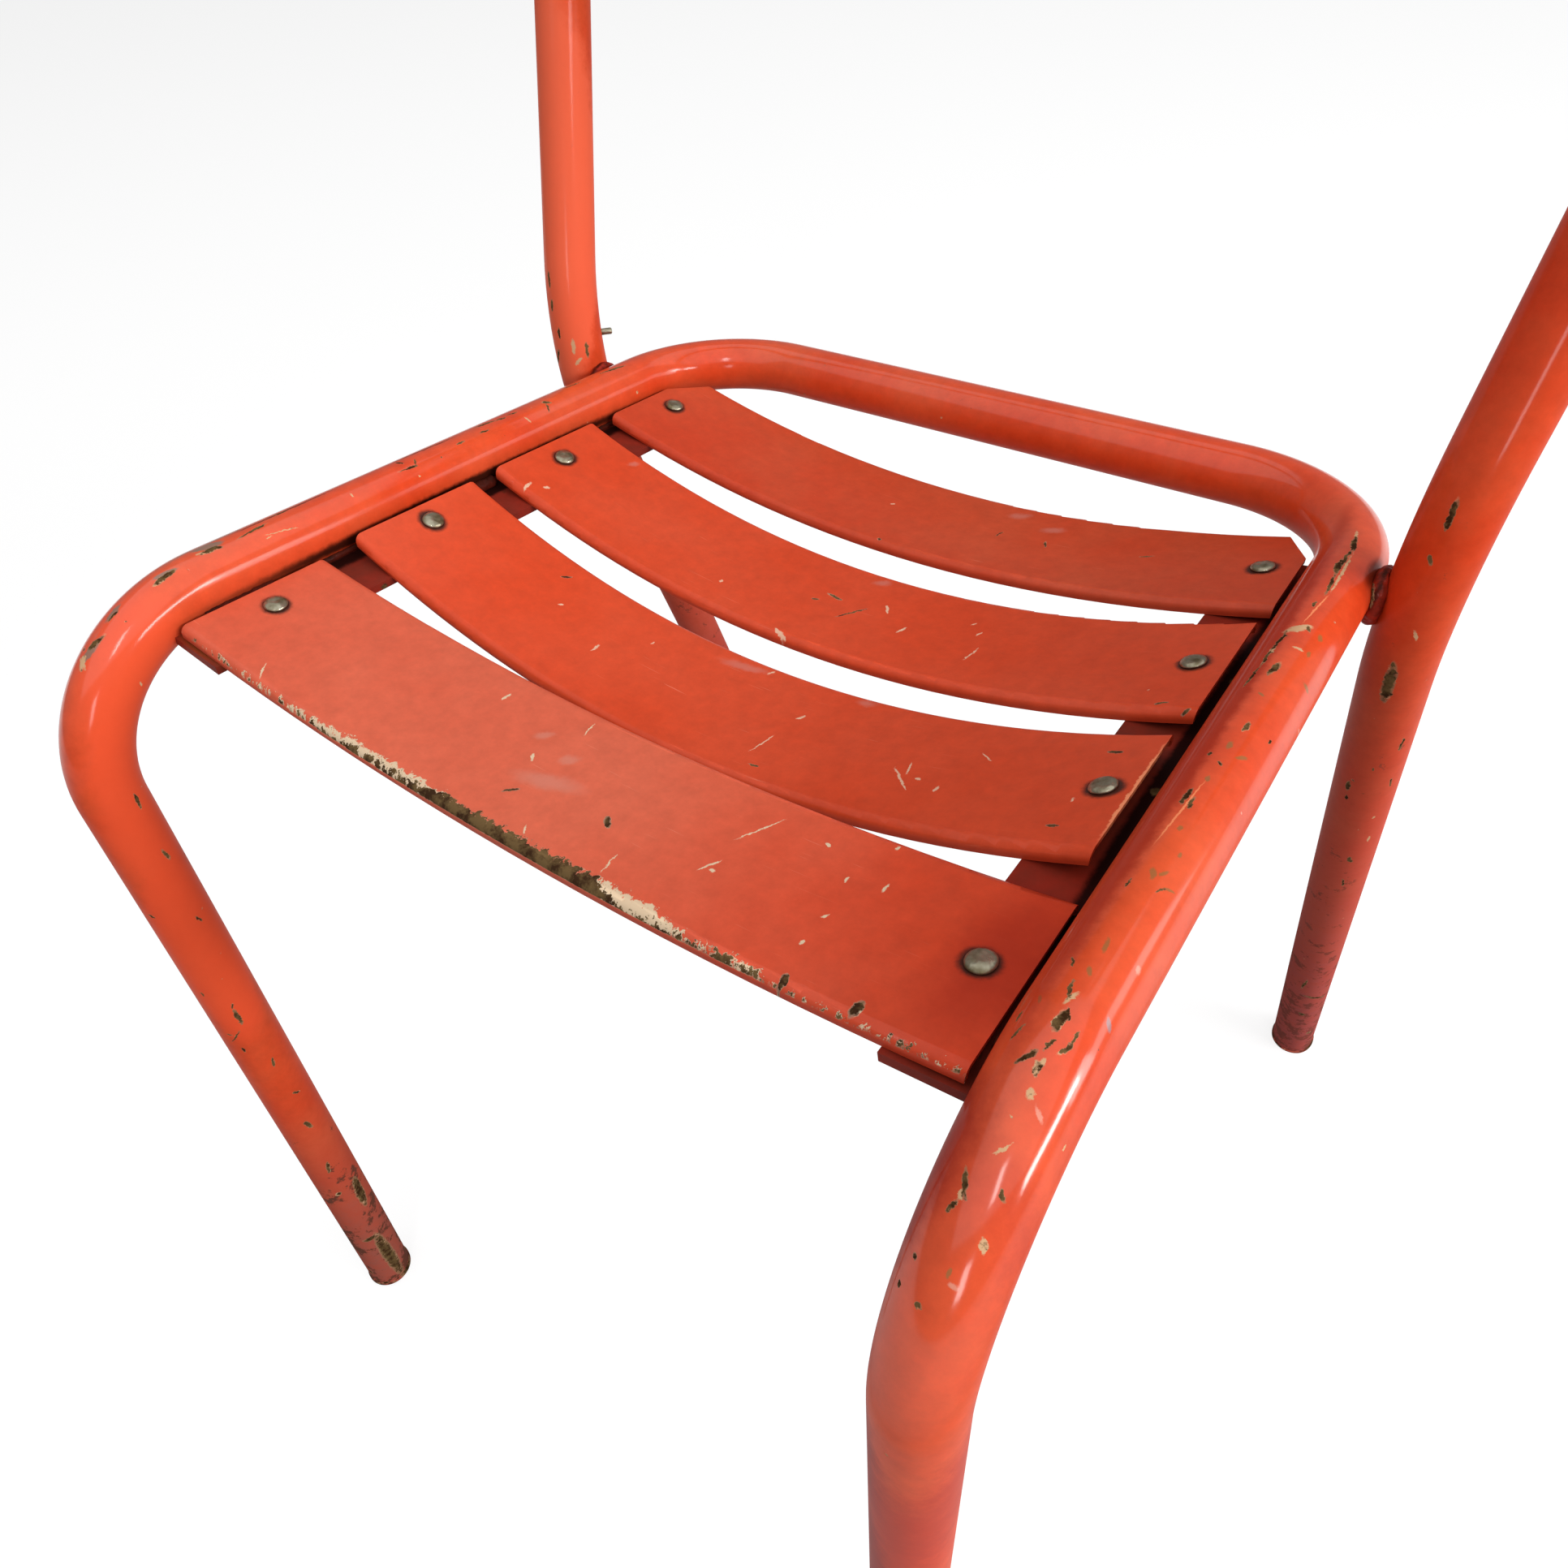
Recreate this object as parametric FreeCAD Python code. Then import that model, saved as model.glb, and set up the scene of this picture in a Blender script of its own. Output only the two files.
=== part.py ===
import FreeCAD, Part
import math
import os

# Metal bistro chair: two bent steel tubes, flat ledges welded to them, and pressed sheet slats
# riveted to the ledges. Millimetres, +Z up, the sitter faces -Y, so +X is the sitter's left.
# The tubes, the ledges and the slats of a panel are laid out in that panel's own plane:
# x across, v along the side tubes and w out of the panel, towards the sitter.
# At the end the chair is moved so that the origin lies on the floor, in the middle of its footprint.

Vector = FreeCAD.Vector

# Tubes
tube_diameter = 22.0
tube_wall = 1.5

# Seat tube: both front legs, both side rails and the rear rail in one bent piece
front_corner_height = 430.0
seat_slope_deg = 6.6
front_rail_spacing = 321.0
rear_rail_spacing = 308.0
seat_tube_depth = 323.0
front_bend_radius = 59.0
rear_corner_radius = 53.0
front_leg_splay_deg = 1.8

# Back tube: both rear legs, both uprights and the top rail in one bent piece
joint_ahead_of_rear_rail = 68.3
joint_rise = 9.3
joint_gap = 0.3
leg_bend_radius = 130.0
rear_leg_rake_deg = 15.9
rear_leg_splay_deg = 3.0
upright_rake_deg = 21.3
upright_splay_deg = 4.2
overall_height = 810.0
top_corner_radius = 60.0

# Foot caps
foot_cap_thickness = 4.5
foot_cap_overhang = 0.7
foot_cap_rim = 2.4
foot_spigot_length = 12.0
foot_spigot_clearance = 0.15

# Ledges: flat bars against the rails' lower inner sides, leaning down towards the middle
ledge_width = 25.0
ledge_thickness = 3.0
ledge_tube_gap = 0.5
ledge_seat_deg = 43.5
ledge_lean_deg = 7.0
ledge_overhang = 1.2
ledge_rear_shortfall = 11.0

# Slats
slat_gap = 11.2
slat_sheet = 1.5
slat_lip_depth = 4.0
slat_edge_radius = 3.0
slat_seat_clearance = 0.05
slat_chamfer_across = 11.0
slat_chamfer_along = 20.0
first_seat_slat_setback = 67.0
rear_seat_slat_ahead_of_rail = 54.4
seat_slat_dips = {"front": 16.5, "second": 31.5, "third": 27.5, "rear": 22.0}
seat_slat_end_gaps = {"front": 2.5, "second": 5.5, "third": 3.8, "rear": 2.5}
back_slat_dips = {"lower": 24.0, "middle": 26.0, "upper": 24.0}
back_slat_end_gaps = {"lower": 3.0, "middle": 3.0, "upper": 3.0}
top_slat_setback = 54.3

# Rivets
rivet_shank_diameter = 4.6
rivet_head_diameter = 8.0
rivet_head_height = 2.1
rivet_tail_diameter = 7.0
rivet_hole_clearance = 0.1
rivet_inset = 24.5

# Welds
frame_weld_ring_radius = 6.9
frame_weld_bead_radius = 2.7
ledge_weld_bead_radius = 2.6
ledge_weld_inset = 1.8
ledge_weld_lift = 1.4
ledge_weld_length = 26.0
ledge_weld_places = (0.1, 0.5, 0.9)
weld_clearance = 0.05

# Steel peg in the inner rear side of each upright, just above the seat
peg_diameter = 2.8
peg_reach = 4.8
peg_root = 3.0
peg_share_of_bend = 0.62
peg_inward_deg = 36.0

tube_radius = tube_diameter / 2
bore_radius = tube_radius - tube_wall
sides = (("left", 1), ("right", -1))
nodes = {}


def unit(vector):
    result = Vector(vector)
    result.normalize()
    return result


def plane_placement(origin, along, normal):
    # Columns are the panel's x, v and w axes
    across = along.cross(normal)
    matrix = FreeCAD.Matrix(
        across.x, along.x, normal.x, origin.x,
        across.y, along.y, normal.y, origin.y,
        across.z, along.z, normal.z, origin.z,
        0, 0, 0, 1,
    )
    return FreeCAD.Placement(matrix)


def bend_arc(before, corner, after, radius):
    # Start, middle and end of the arc that rounds a corner between two straight runs
    back = unit(before - corner)
    ahead = unit(after - corner)
    half_angle = back.getAngle(ahead) / 2
    setback = radius / math.tan(half_angle)
    inward = unit(back + ahead)
    middle = corner + inward * (radius / math.sin(half_angle) - radius)
    return corner + back * setback, middle, corner + ahead * setback


def bent_path(points, radii):
    edges = []
    start = points[0]
    for before, corner, after, radius in zip(points, points[1:], points[2:], radii):
        first, middle, last = bend_arc(before, corner, after, radius)
        edges.append(Part.LineSegment(start, first).toShape())
        edges.append(Part.Arc(first, middle, last).toShape())
        start = last
    edges.append(Part.LineSegment(start, points[-1]).toShape())
    return Part.Wire(edges)


def rod_along(path, points, radius):
    section = Part.Wire(Part.makeCircle(radius, points[0], points[1] - points[0]))
    return path.makePipeShell([section], True, False)


def bent_tube(points, radii):
    path = bent_path(points, radii)
    return rod_along(path, points, tube_radius).cut(rod_along(path, points, bore_radius))


def tube_room(points, radii):
    return rod_along(bent_path(points, radii), points, tube_radius + weld_clearance)


def rod(start, end, radius):
    return Part.makeCylinder(radius, (end - start).Length, start, end - start)


def flat_prism(corners, low, high):
    # Upright prism on corners given as (x, v), from w = low to w = high
    points = [Vector(x, v, low) for x, v in corners]
    outline = Part.makePolygon(points + points[:1])
    return Part.Face(outline).extrude(Vector(0, 0, high - low))


def floor_point(start, direction):
    return start - direction * (start.z / direction.z)


# Seat plane
slope = math.radians(seat_slope_deg)
seat_along = Vector(0, math.cos(slope), -math.sin(slope))
seat_normal = Vector(0, math.sin(slope), math.cos(slope))
seat_origin = Vector(0, 0, front_corner_height)
seat_plane = plane_placement(seat_origin, seat_along, seat_normal)
rail_taper = (rear_rail_spacing - front_rail_spacing) / 2 / seat_tube_depth
joint_setback = seat_tube_depth - joint_ahead_of_rear_rail

# Seat slats share out the space between the first and the rear one, and the back has the same sheets
rear_seat_slat_setback = seat_tube_depth - rear_seat_slat_ahead_of_rail
slat_pitch = (rear_seat_slat_setback - first_seat_slat_setback) / (len(seat_slat_dips) - 1)
slat_width = slat_pitch - slat_gap


def seat_half(v):
    # Half the distance between the side rails' axes
    return front_rail_spacing / 2 + rail_taper * v


def seat_point(x, v, w):
    return seat_plane.multVec(Vector(x, v, w))


# Back plane, through both uprights and the top rail
rake = math.radians(upright_rake_deg)
back_along = Vector(0, math.sin(rake), math.cos(rake))
back_normal = Vector(0, -math.cos(rake), math.sin(rake))
back_origin = seat_point(0, joint_setback, joint_rise)
back_plane = plane_placement(back_origin, back_along, back_normal)
joint_half = seat_half(joint_setback) + tube_diameter + joint_gap
top_axis_height = overall_height - tube_radius
back_tube_height = (top_axis_height - back_origin.z) / math.cos(rake)
upright_taper = math.tan(math.radians(upright_splay_deg))


def back_half(v):
    # Half the distance between the uprights' axes
    return joint_half + upright_taper * v


def back_point(x, v, w):
    return back_plane.multVec(Vector(x, v, w))


def front_foot(sign):
    splay = math.radians(front_leg_splay_deg)
    direction = Vector(sign * math.sin(splay), 0, 0) - seat_normal * math.cos(splay)
    return floor_point(seat_point(sign * seat_half(0), 0, 0), direction)


def rear_foot(sign):
    lean = math.tan(math.radians(rear_leg_rake_deg))
    splay = math.tan(math.radians(rear_leg_splay_deg))
    return floor_point(back_point(sign * joint_half, 0, 0), Vector(sign * splay, lean, -1))


def tube_end(foot, corner):
    return foot + unit(corner - foot) * foot_cap_thickness


# The two bent tubes, each from one foot to the other
front_corners = {sign: seat_point(sign * seat_half(0), 0, 0) for name, sign in sides}
joint_corners = {sign: back_point(sign * joint_half, 0, 0) for name, sign in sides}
top_corners = {sign: back_point(sign * back_half(back_tube_height), back_tube_height, 0) for name, sign in sides}
seat_tube_points = [
    tube_end(front_foot(1), front_corners[1]),
    front_corners[1],
    seat_point(seat_half(seat_tube_depth), seat_tube_depth, 0),
    seat_point(-seat_half(seat_tube_depth), seat_tube_depth, 0),
    front_corners[-1],
    tube_end(front_foot(-1), front_corners[-1]),
]
seat_tube_radii = [front_bend_radius, rear_corner_radius, rear_corner_radius, front_bend_radius]
back_tube_points = [
    tube_end(rear_foot(1), joint_corners[1]),
    joint_corners[1],
    top_corners[1],
    top_corners[-1],
    joint_corners[-1],
    tube_end(rear_foot(-1), joint_corners[-1]),
]
back_tube_radii = [leg_bend_radius, top_corner_radius, top_corner_radius, leg_bend_radius]
nodes["seat_frame_tube"] = bent_tube(seat_tube_points, seat_tube_radii)
nodes["back_frame_tube"] = bent_tube(back_tube_points, back_tube_radii)

# Each tube as a plain rod with a little room around it, which welds and slats are kept clear of
seat_tube_room = tube_room(seat_tube_points, seat_tube_radii)
back_tube_room = tube_room(back_tube_points, back_tube_radii)


def foot_cap(foot, corner):
    # Domed cap on the tube's end, worn flat where it stands, with a spigot inside the tube
    up = unit(corner - foot)
    seat = foot + up * foot_cap_thickness
    cap = Part.makeCylinder(tube_radius + foot_cap_overhang, foot_cap_thickness, foot, up)
    rim = [edge for edge in cap.Edges if edge.Closed and edge.CenterOfMass.distanceToPoint(foot) < 0.01]
    cap = cap.makeFillet(foot_cap_rim, rim)
    spigot = Part.makeCylinder(bore_radius - foot_spigot_clearance, foot_spigot_length, seat, up)
    below = Part.makeBox(4 * tube_diameter, 4 * tube_diameter, tube_diameter)
    below.translate(foot - Vector(2 * tube_diameter, 2 * tube_diameter, tube_diameter))
    return cap.fuse(spigot).removeSplitter().cut(below)


for name, sign in sides:
    nodes["foot_cap_front_" + name] = foot_cap(front_foot(sign), front_corners[sign])
    nodes["foot_cap_rear_" + name] = foot_cap(rear_foot(sign), joint_corners[sign])


# Welds where the back tube crosses the outside of the side rails
def frame_weld(sign):
    rail = Part.LineSegment(front_corners[sign], seat_point(sign * seat_half(seat_tube_depth), seat_tube_depth, 0))
    bend = Part.Arc(*bend_arc(rear_foot(sign), joint_corners[sign], top_corners[sign], leg_bend_radius))
    nearest = rail.toShape().distToShape(bend.toShape())[1][0]
    middle = (nearest[0] + nearest[1]) * 0.5
    ring = Part.makeTorus(frame_weld_ring_radius, frame_weld_bead_radius, middle, nearest[1] - nearest[0])
    return ring.cut(seat_tube_room).cut(back_tube_room)


for name, sign in sides:
    nodes["frame_weld_" + name] = frame_weld(sign)


# Steel pegs
def upright_peg(sign):
    lower, middle, upper = bend_arc(rear_foot(sign), joint_corners[sign], top_corners[sign], leg_bend_radius)
    bend = Part.Arc(lower, middle, upper)
    place = bend.FirstParameter + (bend.LastParameter - bend.FirstParameter) * peg_share_of_bend
    along = unit(Vector(*bend.tangent(place)[0]))
    inward = Vector(-sign, 0, 0)
    rearward = unit(along.cross(inward)) * -sign
    if rearward.y < 0:
        rearward = rearward * -1
    turn = math.radians(peg_inward_deg)
    outward = inward * math.sin(turn) + rearward * math.cos(turn)
    centre = bend.value(place)
    root = centre + outward * (tube_radius - peg_root)
    tip = centre + outward * (tube_radius + peg_reach)
    peg = rod(root, tip, peg_diameter / 2)
    end = [edge for edge in peg.Edges if edge.Closed and edge.CenterOfMass.distanceToPoint(tip) < 0.01]
    hole = rod(centre, tip, peg_diameter / 2 + rivet_hole_clearance)
    return peg.makeFillet(peg_diameter / 4, end), hole


for name, sign in sides:
    peg, hole = upright_peg(sign)
    nodes["upright_peg_" + name] = peg
    nodes["back_frame_tube"] = nodes["back_frame_tube"].cut(hole)


# Panels: ledges, slats, rivets and stitch welds, in the panel's own plane
ledge_seat = math.radians(ledge_seat_deg)
ledge_lean = math.radians(ledge_lean_deg)
ledge_outer_inset = (tube_radius + ledge_tube_gap) * math.cos(ledge_seat)
ledge_outer_height = -(tube_radius + ledge_tube_gap) * math.sin(ledge_seat)
ledge_inner_inset = ledge_outer_inset + ledge_width * math.cos(ledge_lean)
ledge_inner_height = ledge_outer_height - ledge_width * math.sin(ledge_lean)
slat_rest = ledge_inner_height + slat_lip_depth + slat_seat_clearance


def ledge_plane(half, start, end, sign):
    # The ledge's own plane, from its outer top edge: across, along, and out of its top face
    first = Vector(sign * (half(start) - ledge_outer_inset), start, ledge_outer_height)
    last = Vector(sign * (half(end) - ledge_outer_inset), end, ledge_outer_height)
    along = unit(last - first)
    inward = Vector(-sign * math.cos(ledge_lean), 0, -math.sin(ledge_lean))
    return plane_placement(first, along, unit(along.cross(inward) * sign))


def ledge_block(length, sign, outer, inner, low, high):
    # Block on the ledge's plane, from its outer to its inner side
    return flat_prism([(-sign * outer, 0), (-sign * inner, 0), (-sign * inner, length), (-sign * outer, length)], low, high)


def slat_curve(half, middle, dip):
    # Radius and centre height of the slat's top, which rests on both ledges' inner edges
    reach = half(middle) - ledge_inner_inset
    fall = dip + slat_rest
    radius = (reach * reach + fall * fall) / (2 * fall)
    return radius, radius - dip


def slat_section(middle, top):
    # Sheet with both long edges rolled down, drawn across the slat at x = 0
    outer = slat_width / 2
    inner = outer - slat_sheet
    shoulder = outer - slat_edge_radius
    bend = slat_edge_radius
    thin = bend - slat_sheet
    diagonal = math.sqrt(0.5)

    def place(v, w):
        return Vector(0, middle + v, top + w)

    def corner(side, radius):
        return place(side * (shoulder + radius * diagonal), radius * diagonal - bend)

    edges = [
        Part.LineSegment(place(-outer, -slat_lip_depth), place(-outer, -bend)),
        Part.Arc(place(-outer, -bend), corner(-1, bend), place(-shoulder, 0)),
        Part.LineSegment(place(-shoulder, 0), place(shoulder, 0)),
        Part.Arc(place(shoulder, 0), corner(1, bend), place(outer, -bend)),
        Part.LineSegment(place(outer, -bend), place(outer, -slat_lip_depth)),
        Part.LineSegment(place(outer, -slat_lip_depth), place(inner, -slat_lip_depth)),
        Part.LineSegment(place(inner, -slat_lip_depth), place(inner, -bend)),
        Part.Arc(place(inner, -bend), corner(1, thin), place(shoulder, -slat_sheet)),
        Part.LineSegment(place(shoulder, -slat_sheet), place(-shoulder, -slat_sheet)),
        Part.Arc(place(-shoulder, -slat_sheet), corner(-1, thin), place(-inner, -bend)),
        Part.LineSegment(place(-inner, -bend), place(-inner, -slat_lip_depth)),
        Part.LineSegment(place(-inner, -slat_lip_depth), place(-outer, -slat_lip_depth)),
    ]
    return Part.Face(Part.Wire([edge.toShape() for edge in edges]))


def slat_outline(half, middle, end_gap, chamfered):
    # Plan shape: the ends follow the side tubes, and a last slat has its far corners cut off
    start = middle - slat_width
    end = middle + slat_width
    far = middle + slat_width / 2
    gap = tube_radius + end_gap
    right_side = [(half(start) - gap, start)]
    if chamfered:
        cut_start = far - slat_chamfer_along
        across_per_along = slat_chamfer_across / slat_chamfer_along
        right_side.append((half(cut_start) - gap, cut_start))
        right_side.append((half(cut_start) - gap - across_per_along * (end - cut_start), end))
    else:
        right_side.append((half(end) - gap, end))
    left_side = [(-x, v) for x, v in reversed(right_side)]
    return right_side + left_side


def slat(half, middle, dip, end_gap, chamfered):
    radius, centre = slat_curve(half, middle, dip)
    half_turn = math.degrees(math.asin(half(middle) / radius))
    section = slat_section(middle, -dip)
    hinge = Vector(0, 0, centre)
    section.rotate(hinge, Vector(0, 1, 0), -half_turn)
    strip = section.revolve(hinge, Vector(0, 1, 0), 2 * half_turn)
    outline = slat_outline(half, middle, end_gap, chamfered)
    return strip.common(flat_prism(outline, -tube_diameter * 3, tube_diameter * 3))


def rivet_axis(half, middle, dip, sign):
    # Point on the slat's top and the direction square to the slat there
    radius, centre = slat_curve(half, middle, dip)
    x = sign * (half(middle) - rivet_inset)
    point = Vector(x, middle, centre - math.sqrt(radius * radius - x * x))
    return point, unit(Vector(0, middle, centre) - point)


def rivet_depth(point, axis, plane):
    # How far along the rivet the ledge's underside lies below the slat's top
    above = plane.inverse().multVec(point).z + ledge_thickness
    return above / plane.Rotation.inverted().multVec(axis).z


def rivet(point, axis, plane):
    # Domed head on the slat, shank, and a round tail under the ledge
    head_radius = rivet_head_diameter / 2
    dome_radius = (head_radius**2 + rivet_head_height**2) / (2 * rivet_head_height)
    seat = point + axis * slat_seat_clearance
    dome = Part.makeSphere(dome_radius, seat + axis * (rivet_head_height - dome_radius))
    head = dome.common(Part.makeCylinder(head_radius + 1, rivet_head_height + 1, seat, axis))
    tail_middle = point - axis * rivet_depth(point, axis, plane)
    tail_radius = rivet_tail_diameter / 2
    shank = rod(tail_middle - axis * tail_radius / 2, seat, rivet_shank_diameter / 2)
    on_plane = plane.inverse().multVec(tail_middle)
    span = rivet_tail_diameter
    under = Part.makeBox(2 * span, 2 * span, span)
    under.translate(on_plane - Vector(span, span, slat_seat_clearance + span))
    under.Placement = plane.multiply(under.Placement)
    tail = Part.makeSphere(tail_radius, tail_middle).common(under)
    return head.fuse([shank, tail]).removeSplitter()


def rivet_hole(point, axis, plane):
    radius = rivet_shank_diameter / 2 + rivet_hole_clearance
    reach = rivet_depth(point, axis, plane) + rivet_shank_diameter
    return rod(point - axis * reach, point + axis * rivet_shank_diameter, radius)


def ledge_welds(length, sign):
    # Three stitches in the corner between the ledge's top and the tube's lower inner side
    stitches = []
    below = ledge_block(length, sign, -tube_diameter, ledge_width, -tube_diameter, weld_clearance)
    for share in ledge_weld_places:
        middle = length * share
        low = max(0, middle - ledge_weld_length / 2)
        high = min(length, middle + ledge_weld_length / 2)
        ends = [Vector(-sign * ledge_weld_inset, v, ledge_weld_lift) for v in (low, high)]
        stitches.append(rod(ends[0], ends[1], ledge_weld_bead_radius).cut(below))
    return Part.makeCompound(stitches)


def add_panel(panel, plane, half, slats, start, end, room):
    rivets = []
    planes = {name: ledge_plane(half, start, end, sign) for name, sign in sides}
    ledges = {}
    for name, sign in sides:
        ledges[name] = ledge_block(end - start, sign, 0, ledge_width, -ledge_thickness, 0)
        ledges[name].Placement = planes[name]
    for slat_name, middle, dip, end_gap, chamfered in slats:
        sheet = slat(half, middle, dip, end_gap, chamfered)
        for name, sign in sides:
            point, axis = rivet_axis(half, middle, dip, sign)
            rivets.append(rivet(point, axis, planes[name]))
            hole = rivet_hole(point, axis, planes[name])
            sheet = sheet.cut(hole)
            ledges[name] = ledges[name].cut(hole)
        sheet.Placement = plane
        nodes[panel + "_slat_" + slat_name] = sheet.cut(room)
    all_rivets = Part.makeCompound(rivets)
    all_rivets.Placement = plane
    nodes[panel + "_rivets"] = all_rivets
    for name, sign in sides:
        ledges[name].Placement = plane.multiply(ledges[name].Placement)
        nodes[panel + "_ledge_" + name] = ledges[name]
        stitches = ledge_welds(end - start, sign)
        stitches.Placement = plane.multiply(planes[name])
        nodes[panel + "_ledge_welds_" + name] = stitches.cut(room)


seat_slats = []
for index, (slat_name, dip) in enumerate(seat_slat_dips.items()):
    middle = first_seat_slat_setback + index * slat_pitch
    chamfered = index == len(seat_slat_dips) - 1
    seat_slats.append((slat_name, middle, dip, seat_slat_end_gaps[slat_name], chamfered))
seat_ledge_start = first_seat_slat_setback - slat_width / 2 - ledge_overhang
seat_ledge_end = seat_slats[-1][1] + slat_width / 2 - ledge_rear_shortfall
add_panel("seat", seat_plane, seat_half, seat_slats, seat_ledge_start, seat_ledge_end, seat_tube_room)

back_slats = []
for index, (slat_name, dip) in enumerate(back_slat_dips.items()):
    steps_down = len(back_slat_dips) - 1 - index
    middle = back_tube_height - top_slat_setback - steps_down * slat_pitch
    back_slats.append((slat_name, middle, dip, back_slat_end_gaps[slat_name], steps_down == 0))
back_ledge_start = back_slats[0][1] - slat_width / 2 - ledge_overhang
back_ledge_end = back_slats[-1][1] + slat_width / 2 - ledge_rear_shortfall
add_panel("back", back_plane, back_half, back_slats, back_ledge_start, back_ledge_end, back_tube_room)

# Origin on the floor, in the middle of the footprint
box = Part.makeCompound(list(nodes.values())).optimalBoundingBox(True, False)
shift = Vector(-(box.XMin + box.XMax) / 2, -(box.YMin + box.YMax) / 2, -box.ZMin)
os.makedirs("parts", exist_ok=True)
for node, shape in nodes.items():
    shape.translate(shift)
    shape.exportStep("parts/" + node + ".step")
    size = shape.optimalBoundingBox(True, False)
    print(node, shape.isValid(), len(shape.Solids), "%.0f mm3" % shape.Volume)
    print("   ", [round(a, 1) for a in (size.XMin, size.XMax, size.YMin, size.YMax, size.ZMin, size.ZMax)])
print("shift", [round(value, 3) for value in shift])
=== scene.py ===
import math

import bmesh
import bpy
from mathutils import Euler, Matrix, Vector


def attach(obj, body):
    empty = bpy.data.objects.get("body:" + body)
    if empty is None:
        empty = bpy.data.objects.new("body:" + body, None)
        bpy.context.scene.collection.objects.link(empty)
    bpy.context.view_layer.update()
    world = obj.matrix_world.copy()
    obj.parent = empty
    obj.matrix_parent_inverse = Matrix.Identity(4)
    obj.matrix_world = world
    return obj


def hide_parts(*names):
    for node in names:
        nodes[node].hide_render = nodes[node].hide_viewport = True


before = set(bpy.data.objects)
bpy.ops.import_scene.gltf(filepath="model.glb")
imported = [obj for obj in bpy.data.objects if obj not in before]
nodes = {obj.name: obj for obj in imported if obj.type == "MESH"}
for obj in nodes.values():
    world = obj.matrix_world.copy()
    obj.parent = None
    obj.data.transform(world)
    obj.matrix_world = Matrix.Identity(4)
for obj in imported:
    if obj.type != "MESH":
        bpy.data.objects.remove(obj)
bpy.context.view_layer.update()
print("frame loaded,", len(nodes), "nodes")

# The camera stands over the seat's front corner at the sitter's left, and looks down across it
camera = {
    "place": (0.19438, -0.23586, 0.61862),
    "turn": (43.395, 5.820, 36.192),
    "lens": 24.394,
    "sensor": 36.0,
}

# The planes of the seat and of the back: where they start, and how far they tilt from level
planes = {
    "seat": {"place": (0.0, -0.18059, 0.430), "tilt": -6.6},
    "back": {"place": (0.0, 0.07349, 0.40996), "tilt": 68.7},
}


def linearColour(code):
    # sRGB hex to the linear colour that a shader takes
    parts = [int(code[i:i + 2], 16) / 255 for i in (1, 3, 5)]
    linear = [p / 12.92 if p <= 0.04045 else ((p + 0.055) / 1.055) ** 2.4 for p in parts]
    return (*linear, 1.0)


def addNode(tree, kind, inputs=None, **settings):
    # An input is given a value, a colour as hex, a socket, or a node, whose first output in use is linked
    node = tree.nodes.new("ShaderNode" + kind)
    for name, value in settings.items():
        setattr(node, name, value)
    for socket, value in (inputs or {}).items():
        if isinstance(value, bpy.types.Node):
            value = next(output for output in value.outputs if output.enabled)
        if isinstance(value, bpy.types.NodeSocket):
            tree.links.new(value, node.inputs[socket])
        else:
            node.inputs[socket].default_value = linearColour(value) if isinstance(value, str) else value
    return node


def startMaterial(name):
    material = bpy.data.materials.new(name)
    material.use_nodes = True
    material.node_tree.nodes.clear()
    return material, material.node_tree


def torn(tree, point, size, amount):
    # The point moved about by noise, so that what is drawn with it gets a torn edge; both in mm
    noise = addNode(
        tree, "TexNoise", {"Vector": point, "Scale": 1000 / size, "Detail": 5.0, "Roughness": 0.75}
    )
    centred = addNode(
        tree, "VectorMath", {0: noise.outputs["Color"], 1: (0.5, 0.5, 0.5)}, operation="SUBTRACT"
    )
    offset = addNode(tree, "VectorMath", {0: centred, "Scale": amount / 1000}, operation="SCALE")
    return addNode(tree, "VectorMath", {0: point, 1: offset}, operation="ADD")


def smallChips(tree, point, spacing, size, density):
    # Scattered chips, most of them tiny: density, from 0 to 1, says how large they get there
    cells = addNode(tree, "TexVoronoi", {"Vector": point, "Scale": 1000 / spacing})
    random = addNode(tree, "SeparateColor", {"Color": cells.outputs["Color"]})
    rare = addNode(tree, "Math", {0: random.outputs["Red"], 1: 4.0}, operation="POWER")
    wanted = addNode(tree, "Math", {0: rare, 1: density}, operation="MULTIPLY")
    radius = addNode(tree, "Math", {0: wanted, 1: size / spacing}, operation="MULTIPLY")
    inside = addNode(tree, "Math", {0: radius, 1: cells.outputs["Distance"]}, operation="SUBTRACT")
    return addNode(tree, "MapRange", {"Value": inside, "From Max": 0.5 * size / spacing})


def facing(middle, run, axis):
    # How a mark lies: X along it and Z out of the surface. On a tube, that is away from its axis
    out = Vector((0, 0, 1))
    if axis:
        places = []
        for start, end in zip(axis, axis[1:]):
            for side in (1, -1):
                first, last = Vector((side * start[0], *start[1:])), Vector((side * end[0], *end[1:]))
                share = min(max((middle - first).dot(last - first) / (last - first).length_squared, 0), 1)
                places.append(middle - first.lerp(last, share))
        out = min(places, key=lambda away: away.length)
    along = run.normalized() if run.length else out.orthogonal().normalized()
    out = (out - along * out.dot(along)).normalized()
    return Matrix((along, out.cross(along), out)).transposed().to_euler()


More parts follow.
